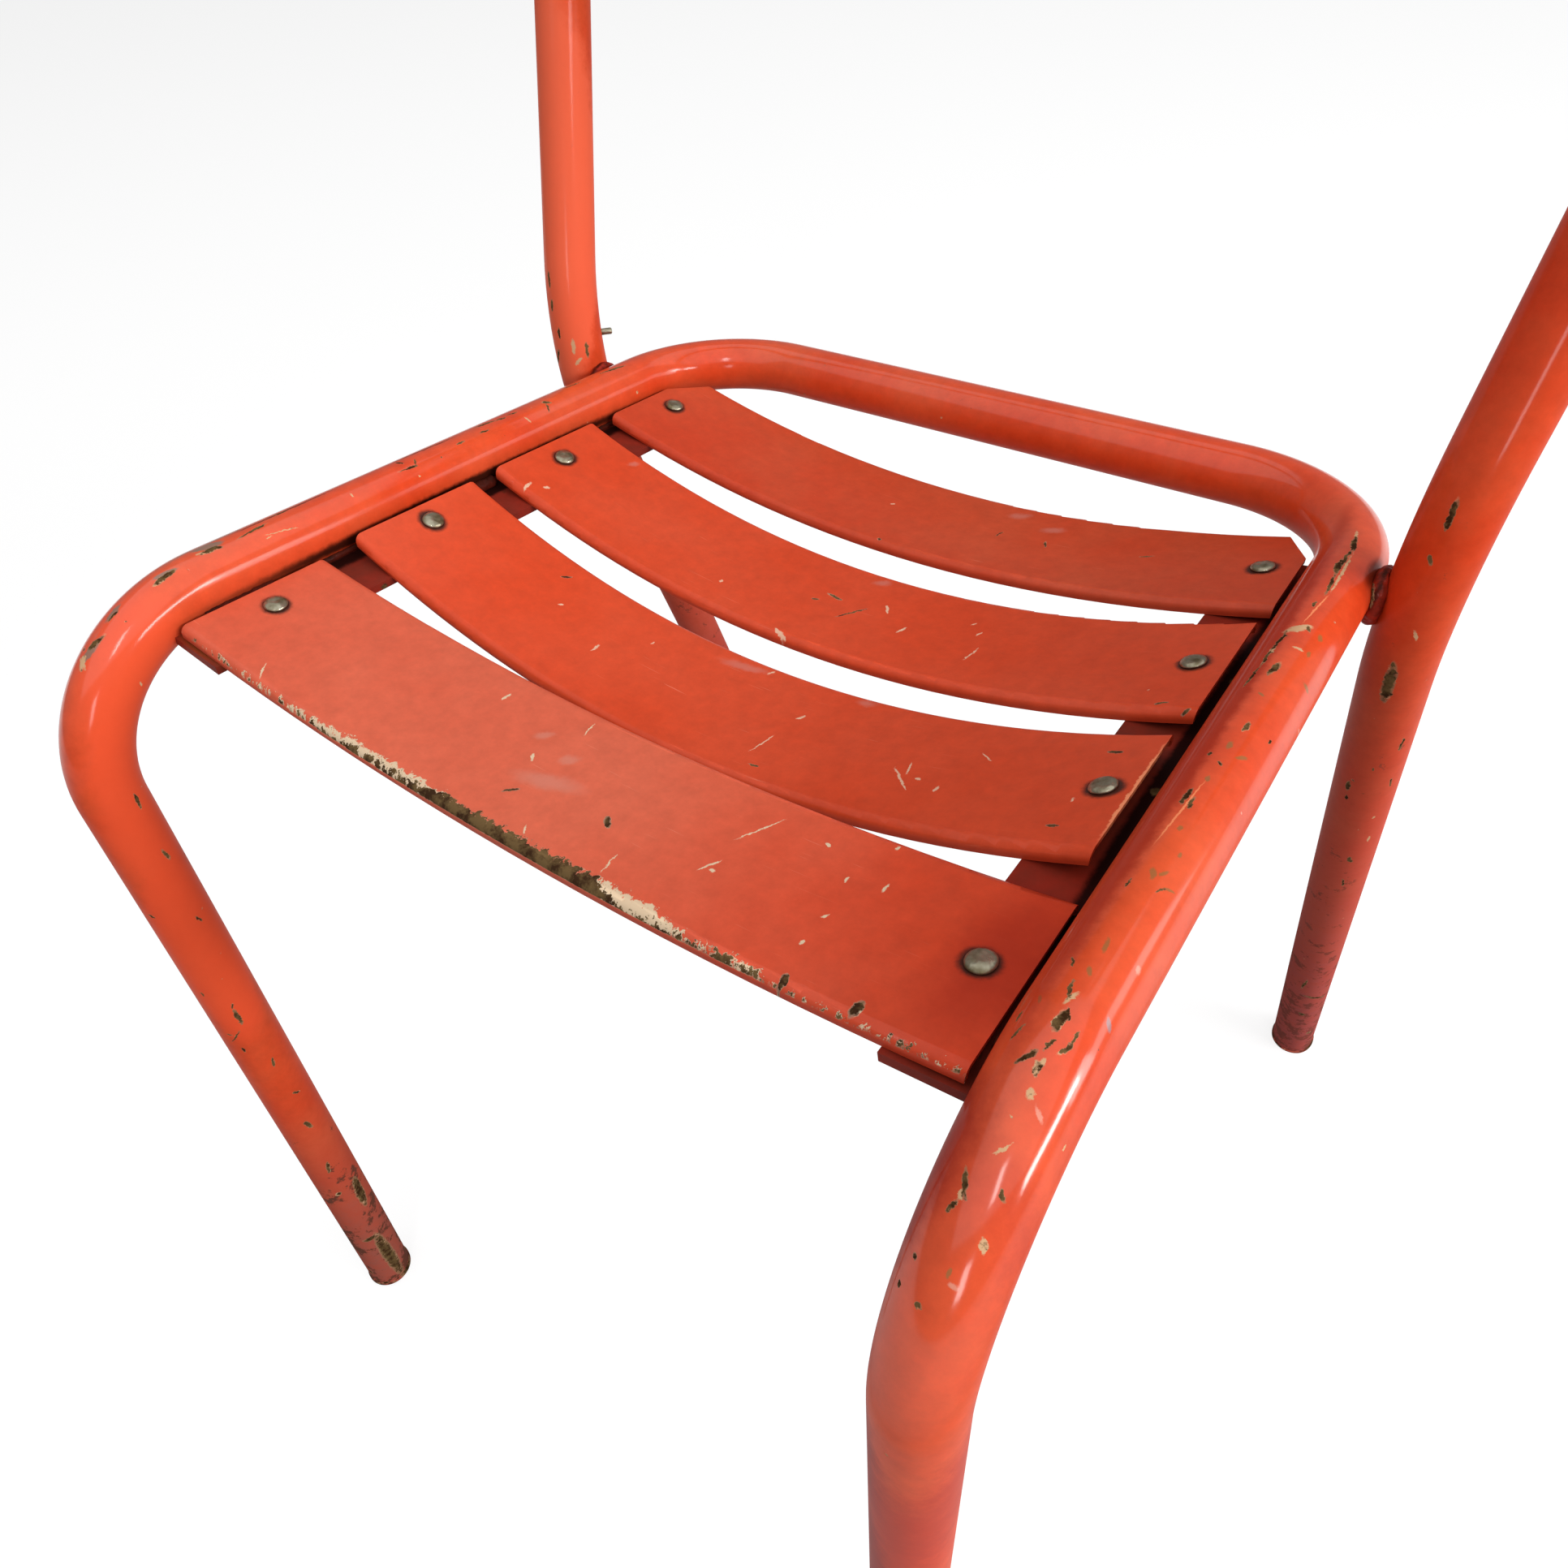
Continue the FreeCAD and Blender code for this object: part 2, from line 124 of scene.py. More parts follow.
def placedMarks(tree, point, marks, axis=None, depth=2.5):
    # Marks that the real chair has: each runs from one place to another and has a width, in mm.
    # The result is 1 in the middle of a mark, 0 at its edge and less outside
    nearest = 9.0  # far outside all marks
    for start, end, width in marks:
        start, end = Vector((*start, 0)[:3]), Vector((*end, 0)[:3])
        run = end - start
        middle = (start + end) / 2
        reach = Vector(((run.length + width) / 2, width / 2, width / 2 + depth))
        local = addNode(
            tree, "Mapping",
            {
                "Vector": point, "Location": middle / 1000, "Rotation": facing(middle, run, axis),
                "Scale": reach / 1000,
            },
            vector_type="TEXTURE",
        )
        away = addNode(tree, "VectorMath", {0: local}, operation="LENGTH")
        nearest = addNode(tree, "Math", {0: away.outputs["Value"], 1: nearest}, operation="MINIMUM")
    return addNode(tree, "Math", {0: 1.0, 1: nearest}, operation="SUBTRACT")


def alongSlat(tree, across, places, reach=150):
    # A value that changes from one end of a slat to the other: places give x in mm and the value there
    end = reach / 1000
    along = addNode(tree, "MapRange", {"Value": across, "From Min": -end, "From Max": end})
    ramp = addNode(tree, "ValToRGB", {"Fac": along})
    stops = ramp.color_ramp.elements
    while len(stops) < len(places):
        stops.new(0.5)
    for stop, (x, value) in zip(stops, places):
        stop.position = (x + reach) / (2 * reach)
        stop.color = (value, value, value, 1.0)
    return ramp


def wornEdge(tree, plane, look):
    # The front slat's front edge, rubbed through to primer and to dark steel. How far each reaches
    # in from the edge changes along the slat
    place = addNode(tree, "SeparateXYZ", {"Vector": plane})
    ragged = addNode(
        tree, "TexNoise",
        {"Vector": plane, "Scale": 1000 / look["raggedSize"], "Detail": 4.0, "Roughness": 0.75},
    )
    uneven = addNode(
        tree, "MapRange", {"Value": ragged, "From Min": 0.3, "From Max": 0.7, "To Min": -2.8, "To Max": 1.6}
    )
    inwards = addNode(
        tree, "Math", {0: place.outputs["Y"], 1: 1000.0, 2: -look["edgeAt"]}, operation="MULTIPLY_ADD"
    )
    onTop = addNode(tree, "MapRange", {"Value": inwards, "From Min": 0.05, "From Max": 0.6})
    widest = 10.0
    parts = []
    for widths in (look["primerWidths"], look["bareWidths"]):
        shares = alongSlat(tree, place.outputs["X"], [(x, width / widest) for x, width in widths])
        reach = addNode(tree, "Math", {0: shares, 1: widest, 2: uneven}, operation="MULTIPLY_ADD")
        depth = addNode(tree, "Math", {0: reach, 1: inwards}, operation="SUBTRACT")
        parts.append(addNode(tree, "Math", {0: depth, 1: onTop}, operation="MULTIPLY"))
    return parts


def enamel(name, look):
    # Brushed oil enamel over cream primer and steel: glossy where it is sound, dull where it is dusty,
    # faded in broad clouds, and chipped to cream primer and to steel that has turned brown
    material, tree = startMaterial(name)
    point = addNode(tree, "TexCoord").outputs["Object"]
    plane = point
    if look.get("plane"):
        place = planes[look["plane"]]
        turn = (math.radians(place["tilt"]), 0, 0)
        plane = addNode(
            tree, "Mapping",
            {"Vector": point, "Location": place["place"], "Rotation": turn, "Scale": (1, 1, 1000)},
            vector_type="TEXTURE",
        )
    height = addNode(tree, "SeparateXYZ", {"Vector": point}).outputs["Z"]

    # Paint: two reds in broad clouds, with a finer mottle
    cloud = addNode(
        tree, "TexNoise",
        {"Vector": point, "Scale": 1000 / look["cloudSize"], "Detail": 5.0, "Roughness": 0.6},
    )
    clouds = addNode(tree, "MapRange", {"Value": cloud, "From Min": 0.35, "From Max": 0.65})
    if look.get("fadedAlong"):
        across = addNode(tree, "SeparateXYZ", {"Vector": plane}).outputs["X"]
        shares = alongSlat(tree, across, look["fadedAlong"])
        centred = addNode(tree, "Math", {0: clouds, 1: 0.4, 2: -0.2}, operation="MULTIPLY_ADD")
        clouds = addNode(tree, "Math", {0: shares, 1: centred}, operation="ADD", use_clamp=True)
    paint = addNode(tree, "Mix", {"Factor": clouds, "A": look["paint"], "B": look["faded"]}, data_type="RGBA")
    mottle = addNode(
        tree, "TexNoise",
        {"Vector": point, "Scale": 1000 / look["mottleSize"], "Detail": 4.0, "Roughness": 0.7},
    )
    shade = addNode(
        tree, "MapRange", {"Value": mottle, "From Min": 0.25, "From Max": 0.75, "To Min": 0.88, "To Max": 1.1}
    )
    paint = addNode(
        tree, "Mix", {"Factor": 1.0, "A": paint, "B": shade}, data_type="RGBA", blend_type="MULTIPLY"
    )

    # Dust and painted sheen: a grey-pink film that thickens towards the floor; its pink also stands in for
    # the sheen on the lower legs
    low = addNode(
        tree, "MapRange",
        {"Value": height, "From Min": look["dustTop"] / 1000, "From Max": 0.02, "To Max": look["dust"]},
        interpolation_type="SMOOTHSTEP",
    )
    patchy = addNode(
        tree, "MapRange", {"Value": mottle, "From Min": 0.3, "From Max": 0.7, "To Min": 0.75, "To Max": 1.15}
    )
    dust = addNode(tree, "Math", {0: low, 1: patchy}, operation="MULTIPLY", use_clamp=True)

    # Scuffs: brown earth rubbed into the paint, in torn patches that thicken towards the floor
    earth = addNode(
        tree, "TexNoise",
        {"Vector": point, "Scale": 1000 / look["scuffSize"], "Detail": 7.0, "Roughness": 0.75},
    )
    limit = addNode(
        tree, "MapRange",
        {
            "Value": height, "From Min": look["scuffTop"] / 1000, "From Max": 0.0,
            "To Min": -0.68, "To Max": -0.49,
        },
    )
    scuff = addNode(tree, "Math", {0: earth, 1: limit}, operation="ADD")
    scuffed = addNode(tree, "MapRange", {"Value": scuff, "From Max": 0.03, "To Max": look["scuff"]})

    # Painted shade: sides that face down or sideways are painted darker than the tops
    normal = addNode(tree, "NewGeometry").outputs["Normal"]
    facingUp = addNode(tree, "SeparateXYZ", {"Vector": normal}).outputs["Z"]
    shaded = addNode(
        tree, "MapRange", {"Value": facingUp, "From Min": 0.75, "From Max": -0.1, "To Max": look["grime"]}
    )
    for factor, colour in ((dust, "dustColour"), (scuffed, "scuffColour"), (shaded, "grimeColour")):
        paint = addNode(tree, "Mix", {"Factor": factor, "A": paint, "B": look[colour]}, data_type="RGBA")

    # Hairline scratches, only the highest crests of long thin noise
    grid = [1000 / size for size in look["scratchGrain"]]
    for turn in look["scratchTurns"]:
        laid = addNode(
            tree, "Mapping", {"Vector": plane, "Rotation": (0, 0, math.radians(turn)), "Scale": grid}
        )
        grain = addNode(tree, "TexNoise", {"Vector": laid, "Scale": 1.0, "Detail": 2.0})
        rubbed = addNode(
            tree, "MapRange", {"Value": cloud, "From Min": 0.45, "From Max": 0.6, "To Max": look["scratch"]}
        )
        line = addNode(tree, "MapRange", {"Value": grain, "From Min": 0.71, "From Max": 0.80})
        line = addNode(tree, "Math", {0: line, 1: rubbed}, operation="MULTIPLY")
        paint = addNode(
            tree, "Mix", {"Factor": line, "A": paint, "B": look["scratchColour"]}, data_type="RGBA"
        )

    # Stains and painted light: soft smudges, pale where things rubbed, and painted highlights, light and
    # shade. Dirt and painted shade lie the same way, but take the gloss too
    dirtAndShadeShare = 0.0
    for kind in ("stains", "dirt"):
        for colour, strength, size, soft, marks in look[kind]:
            stainAndLight = placedMarks(tree, torn(tree, plane, size, size * 0.7), marks, look.get("axis"))
            veil = addNode(
                tree, "MapRange", {"Value": stainAndLight, "From Max": soft, "To Max": strength},
                interpolation_type="SMOOTHSTEP",
            )
            paint = addNode(tree, "Mix", {"Factor": veil, "A": paint, "B": colour}, data_type="RGBA")
            if kind == "dirt":
                dirtAndShadeShare = addNode(tree, "Math", {0: dirtAndShadeShare, 1: veil}, operation="MAXIMUM")

    # Chips: some go to the primer, others through it to the steel
    ragged = torn(tree, point, *look["chipEdge"])
    raggedPlane = torn(tree, plane, *look["chipEdge"])
    lower = addNode(
        tree, "MapRange",
        {
            "Value": height, "From Min": 0.25, "From Max": 0.02,
            "To Min": look["chips"], "To Max": look["chipsLow"],
        },
    )
    small = smallChips(tree, ragged, look["chipSpacing"], look["chipSize"], lower)
    bare = placedMarks(tree, raggedPlane, look["bare"], look.get("axis"))
    primer = placedMarks(tree, raggedPlane, look["primer"], look.get("axis"))
    relieved = small
    if look.get("edge"):
        edgePrimer, edgeBare = wornEdge(tree, plane, look["edge"])
        relieved = addNode(tree, "Math", {0: small, 1: edgePrimer}, operation="MAXIMUM")
        primer = addNode(tree, "Math", {0: primer, 1: edgePrimer}, operation="MAXIMUM")
        bare = addNode(tree, "Math", {0: bare, 1: edgeBare}, operation="MAXIMUM")
    either = addNode(tree, "Math", {0: bare, 1: primer}, operation="MAXIMUM")
    lost = addNode(tree, "Math", {0: either, 1: small}, operation="MAXIMUM")
    fleck = addNode(tree, "TexNoise", {"Vector": point, "Scale": 1000 / look["fleckSize"], "Detail": 3.0})
    spread = addNode(
        tree, "MapRange", {"Value": fleck, "From Min": 0.35, "From Max": 0.65, "To Min": 0.12, "To Max": 0.55}
    )
    paintGone = addNode(tree, "MapRange", {"Value": lost, "From Max": spread})
    pit = addNode(
        tree, "TexNoise", {"Vector": point, "Scale": 1000 / look["pitSize"], "Detail": 4.0, "Roughness": 0.7}
    )
    deeper = addNode(tree, "Math", {0: pit, 1: 3.2, 2: -1.85}, operation="MULTIPLY_ADD")
    deepest = addNode(tree, "Math", {0: deeper, 1: look["chipPrimer"]}, operation="ADD")
    bareDepth = addNode(tree, "Math", {0: bare, 1: deeper}, operation="SUBTRACT")
    smallDepth = addNode(tree, "Math", {0: small, 1: deepest}, operation="SUBTRACT")
    depth = addNode(tree, "Math", {0: bareDepth, 1: smallDepth}, operation="MAXIMUM")
    through = addNode(tree, "MapRange", {"Value": depth, "From Max": 0.25})
    primerGone = addNode(tree, "Math", {0: through, 1: paintGone}, operation="MULTIPLY")
    brown = addNode(tree, "MapRange", {"Value": mottle, "From Min": 0.42, "From Max": 0.58})
    under = addNode(tree, "Mix", {"Factor": brown, "A": look["rust"], "B": look["steel"]}, data_type="RGBA")
    colour = addNode(
        tree, "Mix", {"Factor": paintGone, "A": paint, "B": look["primerColour"]}, data_type="RGBA"
    )
    colour = addNode(tree, "Mix", {"Factor": primerGone, "A": colour, "B": under}, data_type="RGBA")

    # Gloss: a clear skin on sound paint, worn thin down the dusty legs and on undersides, none on chips
    dulled = addNode(tree, "Math", {0: dirtAndShadeShare, 1: paintGone}, operation="MAXIMUM")
    sound = addNode(tree, "Math", {0: 1.0, 1: dulled}, operation="SUBTRACT")
    kept = addNode(
        tree, "MapRange", {"Value": height, "From Min": 0.12, "From Max": 0.42, "To Min": look["coatLow"]}
    )
    skin = addNode(tree, "Math", {0: sound, 1: kept}, operation="MULTIPLY")
    topside = addNode(
        tree, "MapRange", {"Value": facingUp, "From Min": 0.2, "From Max": 0.6, "To Min": look["coatUnder"]}
    )
    skin = addNode(tree, "Math", {0: skin, 1: topside}, operation="MULTIPLY")
    coat = addNode(tree, "Math", {0: skin, 1: look["coat"]}, operation="MULTIPLY")

    # Relief: brush-wavy paint, and the step down to primer. The placed marks stay out of it, because a bump
    # reads what it is given three times, and so many marks would be too much for one shader
    wave = addNode(tree, "TexNoise", {"Vector": point, "Scale": 1000 / look["waveSize"], "Detail": 2.0})
    waves = addNode(tree, "Bump", {"Height": wave, "Strength": look["wave"], "Distance": 0.001})
    step = addNode(tree, "MapRange", {"Value": relieved, "From Max": 0.12})
    relief = addNode(
        tree, "Bump", {"Height": step, "Strength": 0.6, "Distance": 0.0002, "Normal": waves}, invert=True
    )

    dull = addNode(tree, "Math", {0: dust, 1: paintGone}, operation="MAXIMUM")
    rough = addNode(tree, "MapRange", {"Value": dull, "To Min": look["roughness"], "To Max": 0.95})

    shader = addNode(
        tree, "BsdfPrincipled",
        {
            "Base Color": colour, "Roughness": rough, "Specular IOR Level": look["specular"],
            "Coat Weight": coat, "Coat Roughness": look["coatRoughness"],
            "Normal": relief, "Coat Normal": relief,
        },
    )
    addNode(tree, "OutputMaterial", {"Surface": shader})
    return material


def cover(piece, material):
    piece.data.materials.clear()
    piece.data.materials.append(material)


def dress(part, material):
    # Covers each node whose name starts with that of the part
    for name in nodes:
        if name.startswith(part):
            cover(nodes[name], material)


# Worn red enamel, as on all of the chair; each piece below changes some of it. Sizes are in mm
redEnamel = {
    "paint": "#D9441D", "faded": "#DF5730", "cloudSize": 55, "mottleSize": 6, "stains": [], "dirt": [],
    "dust": 0.0, "dustTop": 220, "dustColour": "#B05A48",
    "scuff": 0.0, "scuffTop": 260, "scuffSize": 16, "scuffColour": "#553A2C",
    # Painted shade, darker on sides that face down or sideways
    "grime": 0.14, "grimeColour": "#7E1C12",
    "scratch": 0.0, "scratchTurns": (), "scratchGrain": (22, 0.7, 9), "scratchColour": "#F0A88A",
    "chips": 0.3, "chipsLow": 0.8, "chipSpacing": 9.0, "chipSize": 3.2, "chipPrimer": 0.45,
    "chipEdge": (3.0, 2.6), "fleckSize": 1.4, "pitSize": 4.0,
    "rust": "#3A2412", "steel": "#6B5434", "primerColour": "#CFA67E",
    "coat": 1.0, "coatLow": 0.12, "coatUnder": 0.06, "coatRoughness": 0.13,
    "roughness": 0.5, "specular": 0.05, "wave": 0.05, "waveSize": 16,
    "bare": [], "primer": [],
}


def bothSides(start, end, width):
    # A mark at the sitter's left, and its mirror image
    return [((side * start[0], *start[1:]), (side * end[0], *end[1:]), width) for side in (1, -1)]


# Stains, dirt, painted light and painted shade: colour, strength, how coarsely the edge is torn in mm, how
# soft it is, and marks
wornBrown = ("#94683A", 0.8, 2.5, 0.5)
rubbedPink = ("#E09A84", 0.7, 2.5, 0.6)
rubbedPale = ("#C98578", 0.45, 8, 0.8)
paleFilm = ("#A87868", 0.7, 4, 0.5)
greyFilm = ("#7E7060", 0.85, 3, 0.4)
# Dirt in the crack at the joint with the upright, and painted shade of the recess around it
jointDirtAndShade = ("#3A140C", 0.8, 3, 0.5)
rivetDirt = ("#2B1810", 0.95, 3, 0.35)
# Painted shade: the rail's inner side darker red
innerSidePaintedShade = ("#A82A16", 0.75, 6, 0.5, [((153, -170, 437), (147, 140, 402), 11)])
# Dirt and painted shade, nearly black, in the corner along the ends of the slats
leftCornerDirtAndShade = ("#1E0D08", 0.95, 3, 0.5, [((149, -146, 422), (144, 112, 392), 8)])
rightCornerDirtAndShade = ("#1E0D08", 0.95, 3, 0.5, [((-149, -146, 422), (-144, 112, 392), 8)])

# Places in mm. The marks were read by eye in the photograph, in pixels, and most were then cast through
# the camera above onto the chair by a helper script, which gave these rounded places. Some broad stains,
# dirt, painted light and painted shade were set one by one. A tube's axis is given from a foot upwards
seatTube = {
    **redEnamel,
    "dust": 0.95, "dustColour": "#A25A4C", "scuff": 0.9,
    "axis": [
        (174, -230, 0), (162, -187, 371), (161, -165, 411), (159, -122, 423), (155, 88, 399), (138, 125, 395),
        (0, 140, 393),
    ],
}
# The seat's tube at the sitter's left, from the front bend backwards
seatTubeLeft = {
    **seatTube,
    # Painted shade on the inner side, and dirt and painted shade in the corner along the ends of the slats
    # and at the joint with the upright
    "dirt": [innerSidePaintedShade, leftCornerDirtAndShade, (*jointDirtAndShade, [((166, 72, 410), (166, 90, 408), 9)])],
    "stains": [
        # a painted highlight along the top, and worn thin
        ("#FF9460", 0.9, 1.5, 0.5, [
            ((157, -44, 425), (155, -76, 428), 0.7), ((157, 55, 414), (155, 33, 416), 0.7),
        ]),
        (*wornBrown, [
            ((161, 32, 415), (161, 30, 415), 2.1), ((161, 22, 417), (161, 20, 417), 1.5),
            ((156, -5, 421), (157, -6, 421), 1.4), ((164, 9, 416), (165, 8, 415), 2.2),
            ((157, -29, 424), (157, -32, 424), 1.7), ((160, -34, 424), (162, -32, 423), 1.7),
            ((157, -45, 425), (157, -46, 426), 1.3), ((158, -65, 428), (158, -66, 428), 1.4),
            ((161, -73, 428), (161, -74, 428), 1.2), ((158, -81, 430), (159, -84, 430), 1.9),
            ((161, -80, 429), (160, -82, 430), 1.3), ((162, -85, 429), (164, -84, 429), 1.1),
            ((158, -105, 432), (159, -109, 433), 1.4), ((158, -114, 433), (159, -116, 434), 1.2),
        ]),
        (*rubbedPink, [
            ((168, -4, 412), (168, -3, 410), 1.4), ((166, -107, 430), (166, -108, 430), 1.8),
            ((167, -48, 421), (167, -48, 421), 1.0),
        ]),
    ],
    "bare": [
        ((154, 94, 409), (155, 84, 410), 1.8), ((155, 84, 410), (155, 71, 412), 1.4),
        ((154, 77, 411), (155, 66, 413), 2.0), ((155, 66, 413), (156, 53, 414), 1.4),
        ((155, 48, 415), (155, 45, 415), 1.1), ((157, 33, 416), (158, 31, 416), 1.3),
        ((153, 29, 416), (152, 18, 417), 1.1), ((152, 18, 417), (152, 9, 418), 1.1),
        ((152, 9, 418), (151, -3, 419), 0.8), ((156, 11, 419), (155, 5, 420), 2.2),
        ((158, -19, 422), (158, -23, 423), 1.6), ((164, -20, 420), (164, -21, 420), 1.1),
        ((157, -38, 425), (158, -39, 425), 1.1), ((154, -35, 424), (154, -36, 424), 1.1),
        ((155, -51, 426), (155, -57, 426), 1.6), ((157, -54, 426), (157, -58, 427), 1.2),
        ((161, -87, 430), (162, -85, 429), 0.7), ((155, -86, 430), (155, -89, 430), 0.7),
        ((154, -113, 432), (155, -115, 433), 0.7), ((157, -119, 434), (158, -123, 434), 1.0),
    ],
    "primer": [
        ((153, 98, 409), (156, 82, 411), 1.2), ((156, 82, 411), (157, 55, 414), 1.1),
        ((153, 29, 416), (157, 33, 416), 3.8), ((152, 21, 417), (152, 14, 418), 1.5),
        ((157, 21, 418), (159, 21, 417), 1.3),
    ],
}
# The front bend and the leg there
seatTubeLeftLeg = {
    **seatTube,
    # Painted shade on the inner side, dirt and painted shade in the corner along the slats' ends, and painted
    # shade down the inner side of the bend and the leg
    "dirt": [
        innerSidePaintedShade, leftCornerDirtAndShade,
        ("#96241C", 0.85, 12, 0.35, [
            ((147, -150, 432), (152, -200, 320), 38), ((152, -196, 330), (163, -215, 150), 34),
        ]),
    ],
    "stains": [
        ("#8A8A90", 0.7, 2, 0.5, [((166, -122, 432), (167, -124, 431), 1.5)]),
        # Painted shade: the front of the bend and leg darker red
        ("#B4301A", 0.75, 12, 0.4, [((163, -158, 430), (168, -208, 290), 28)]),
        (*wornBrown, [
            ((153, -125, 432), (153, -126, 433), 1.3), ((162, -176, 417), (162, -176, 416), 1.1),
        ]),
        (*rubbedPink, [
            ((163, -177, 415), (164, -177, 415), 1.6), ((164, -147, 432), (164, -147, 431), 1.3),
        ]),
    ],
    "bare": [
        ((157, -119, 434), (158, -123, 434), 1.0), ((159, -126, 435), (160, -128, 435), 0.8),
        ((159, -127, 435), (159, -131, 435), 2.3), ((163, -129, 434), (163, -132, 434), 0.8),
        ((163, -132, 434), (162, -135, 434), 1.3), ((160, -133, 434), (159, -136, 434), 0.7),
        ((151, -129, 431), (151, -131, 431), 1.0), ((153, -132, 433), (152, -136, 432), 0.7),
        ((158, -137, 434), (156, -140, 433), 1.6), ((157, -161, 426), (159, -165, 424), 1.6),
        ((158, -166, 423), (157, -168, 422), 1.1), ((164, -161, 426), (165, -162, 425), 1.1),
        ((154, -180, 408), (154, -180, 408), 1.4), ((155, -176, 414), (155, -176, 414), 1.5),
        ((159, -182, 410), (159, -182, 410), 1.7),
    ],
    "primer": [
        ((159, -121, 434), (158, -125, 434), 1.2), ((158, -128, 435), (158, -131, 435), 0.8),
        ((160, -138, 434), (160, -140, 434), 1.5), ((159, -139, 434), (160, -141, 434), 1.5),
        ((161, -145, 433), (161, -144, 433), 1.8), ((165, -169, 421), (166, -170, 420), 1.5),
        ((160, -157, 429), (162, -154, 430), 0.8), ((170, -148, 426), (170, -147, 426), 0.7),
        ((160, -150, 431), (160, -150, 431), 0.6), ((158, -164, 425), (158, -166, 424), 1.0),
    ],
}
# The seat's tube at the sitter's right, from the front bend backwards
seatTubeRight = {
    **seatTube,
    # Dirt and painted shade in the corner along the slats' ends and at the joint with the upright, and dark
    # scuffs along the top
    "dirt": [
        rightCornerDirtAndShade,
        (*jointDirtAndShade, [((-166, 72, 410), (-166, 90, 408), 9)]),
        ("#4A3024", 0.8, 3, 0.5, [
            ((-160, -44, 425), (-157, -6, 421), 1.0), ((-160, -112, 433), (-159, -62, 427), 1.2),
        ]),
    ],
    "stains": [
        (*greyFilm, [((-160, -121, 434), (-158, -112, 433), 4)]),
        (*paleFilm, [((-162, -96, 431), (-161, -135, 433), 3.4)]),
    ],
    "bare": [
        ((-154, 33, 416), (-152, 35, 416), 1.8), ((-152, 33, 416), (-149, 31, 414), 1.1),
        ((-156, 10, 419), (-155, 13, 419), 1.4), ((-158, -1, 420), (-156, 9, 419), 1.4),
        ((-153, -2, 420), (-153, 2, 419), 1.1), ((-153, -14, 421), (-153, -11, 420), 1.2),
        ((-151, -24, 421), (-151, -24, 421), 1.0), ((-158, -39, 425), (-156, -38, 424), 1.2),
        ((-153, -43, 424), (-152, -35, 423), 0.8), ((-153, -38, 423), (-152, -35, 423), 1.4),
        ((-155, -33, 424), (-152, -35, 423), 0.7), ((-160, -90, 431), (-159, -87, 430), 1.3),
        ((-157, 48, 415), (-156, 57, 414), 1.1), ((-156, 15, 419), (-155, 20, 418), 1.1),
        ((-156, -108, 432), (-157, -95, 431), 1.1), ((-157, -118, 434), (-156, -114, 433), 2.5),
        ((-156, 67, 411), (-153, 83, 410), 1.5),
    ],
    "primer": [
        ((-153, -100, 430), (-151, -88, 427), 0.5), ((-152, -100, 429), (-152, -98, 429), 0.6),
        ((-150, 20, 416), (-150, 20, 415), 1.1), ((-149, -37, 420), (-149, -37, 420), 0.8),
        ((-153, -64, 426), (-152, -64, 426), 0.8), ((-157, -121, 434), (-156, -116, 433), 2.2),
    ],
}
# The front bend and the leg there
seatTubeRightLeg = {
    **seatTube,
    # Dirt and painted shade in the corner along the slats' ends
    "dirt": [rightCornerDirtAndShade],
    "stains": [
        # Painted light: the bend and the leg's upper part lighter orange
        ("#EC5430", 0.75, 14, 0.3, [
            ((-158, -150, 428), (-151, -190, 345), 44), ((-151, -190, 345), (-156, -205, 250), 34),
        ]),
        (*paleFilm, [
            ((-162, -96, 431), (-161, -135, 433), 3.4), ((-161, -135, 433), (-160, -172, 419), 3.4),
        ]),
        (*greyFilm, [
            ((-160, -121, 434), (-158, -112, 433), 4), ((-158, -137, 434), (-156, -130, 434), 2.8),
            ((-160, -156, 429), (-160, -150, 431), 2.6), ((-160, -170, 420), (-158, -161, 426), 3.6),
        ]),
    ],
    "bare": [
        ((-157, -118, 434), (-156, -114, 433), 2.5), ((-156, -136, 434), (-156, -131, 434), 2.4),
        ((-159, -156, 429), (-159, -152, 431), 1.2), ((-160, -166, 424), (-157, -160, 427), 1.9),
        ((-152, -187, 350), (-153, -187, 345), 1.7), ((-160, -203, 324), (-159, -203, 323), 1.4),
        ((-153, -193, 316), (-153, -192, 312), 0.9), ((-155, -203, 266), (-155, -204, 264), 1.1),
        ((-155, -204, 263), (-156, -205, 253), 1.9), ((-157, -207, 250), (-161, -212, 243), 0.9),
        ((-161, -211, 249), (-160, -210, 248), 1.2), ((-159, -211, 238), (-159, -211, 236), 1.6),
        ((-156, -205, 224), (-156, -207, 219), 1.6), ((-157, -208, 196), (-157, -206, 194), 1.7),
        ((-158, -213, 173), (-158, -212, 168), 2.6), ((-160, -208, 277), (-160, -208, 275), 1.1),
        ((-152, -183, 376), (-152, -184, 370), 1.6), ((-159, -218, 137), (-160, -220, 129), 2.3),
        ((-160, -214, 109), (-161, -218, 85), 5.8), ((-161, -225, 56), (-163, -229, 4), 7.4),
        ((-163, -230, 56), (-162, -226, 55), 4.1),
    ],
    "primer": [
        ((-161, -169, 422), (-158, -170, 420), 1.9), ((-156, -138, 433), (-156, -134, 434), 2.5),
        ((-150, -161, 411), (-150, -161, 409), 0.8), ((-157, -121, 434), (-156, -116, 433), 2.2),
        ((-160, -168, 422), (-159, -171, 421), 2.6),
    ],
}
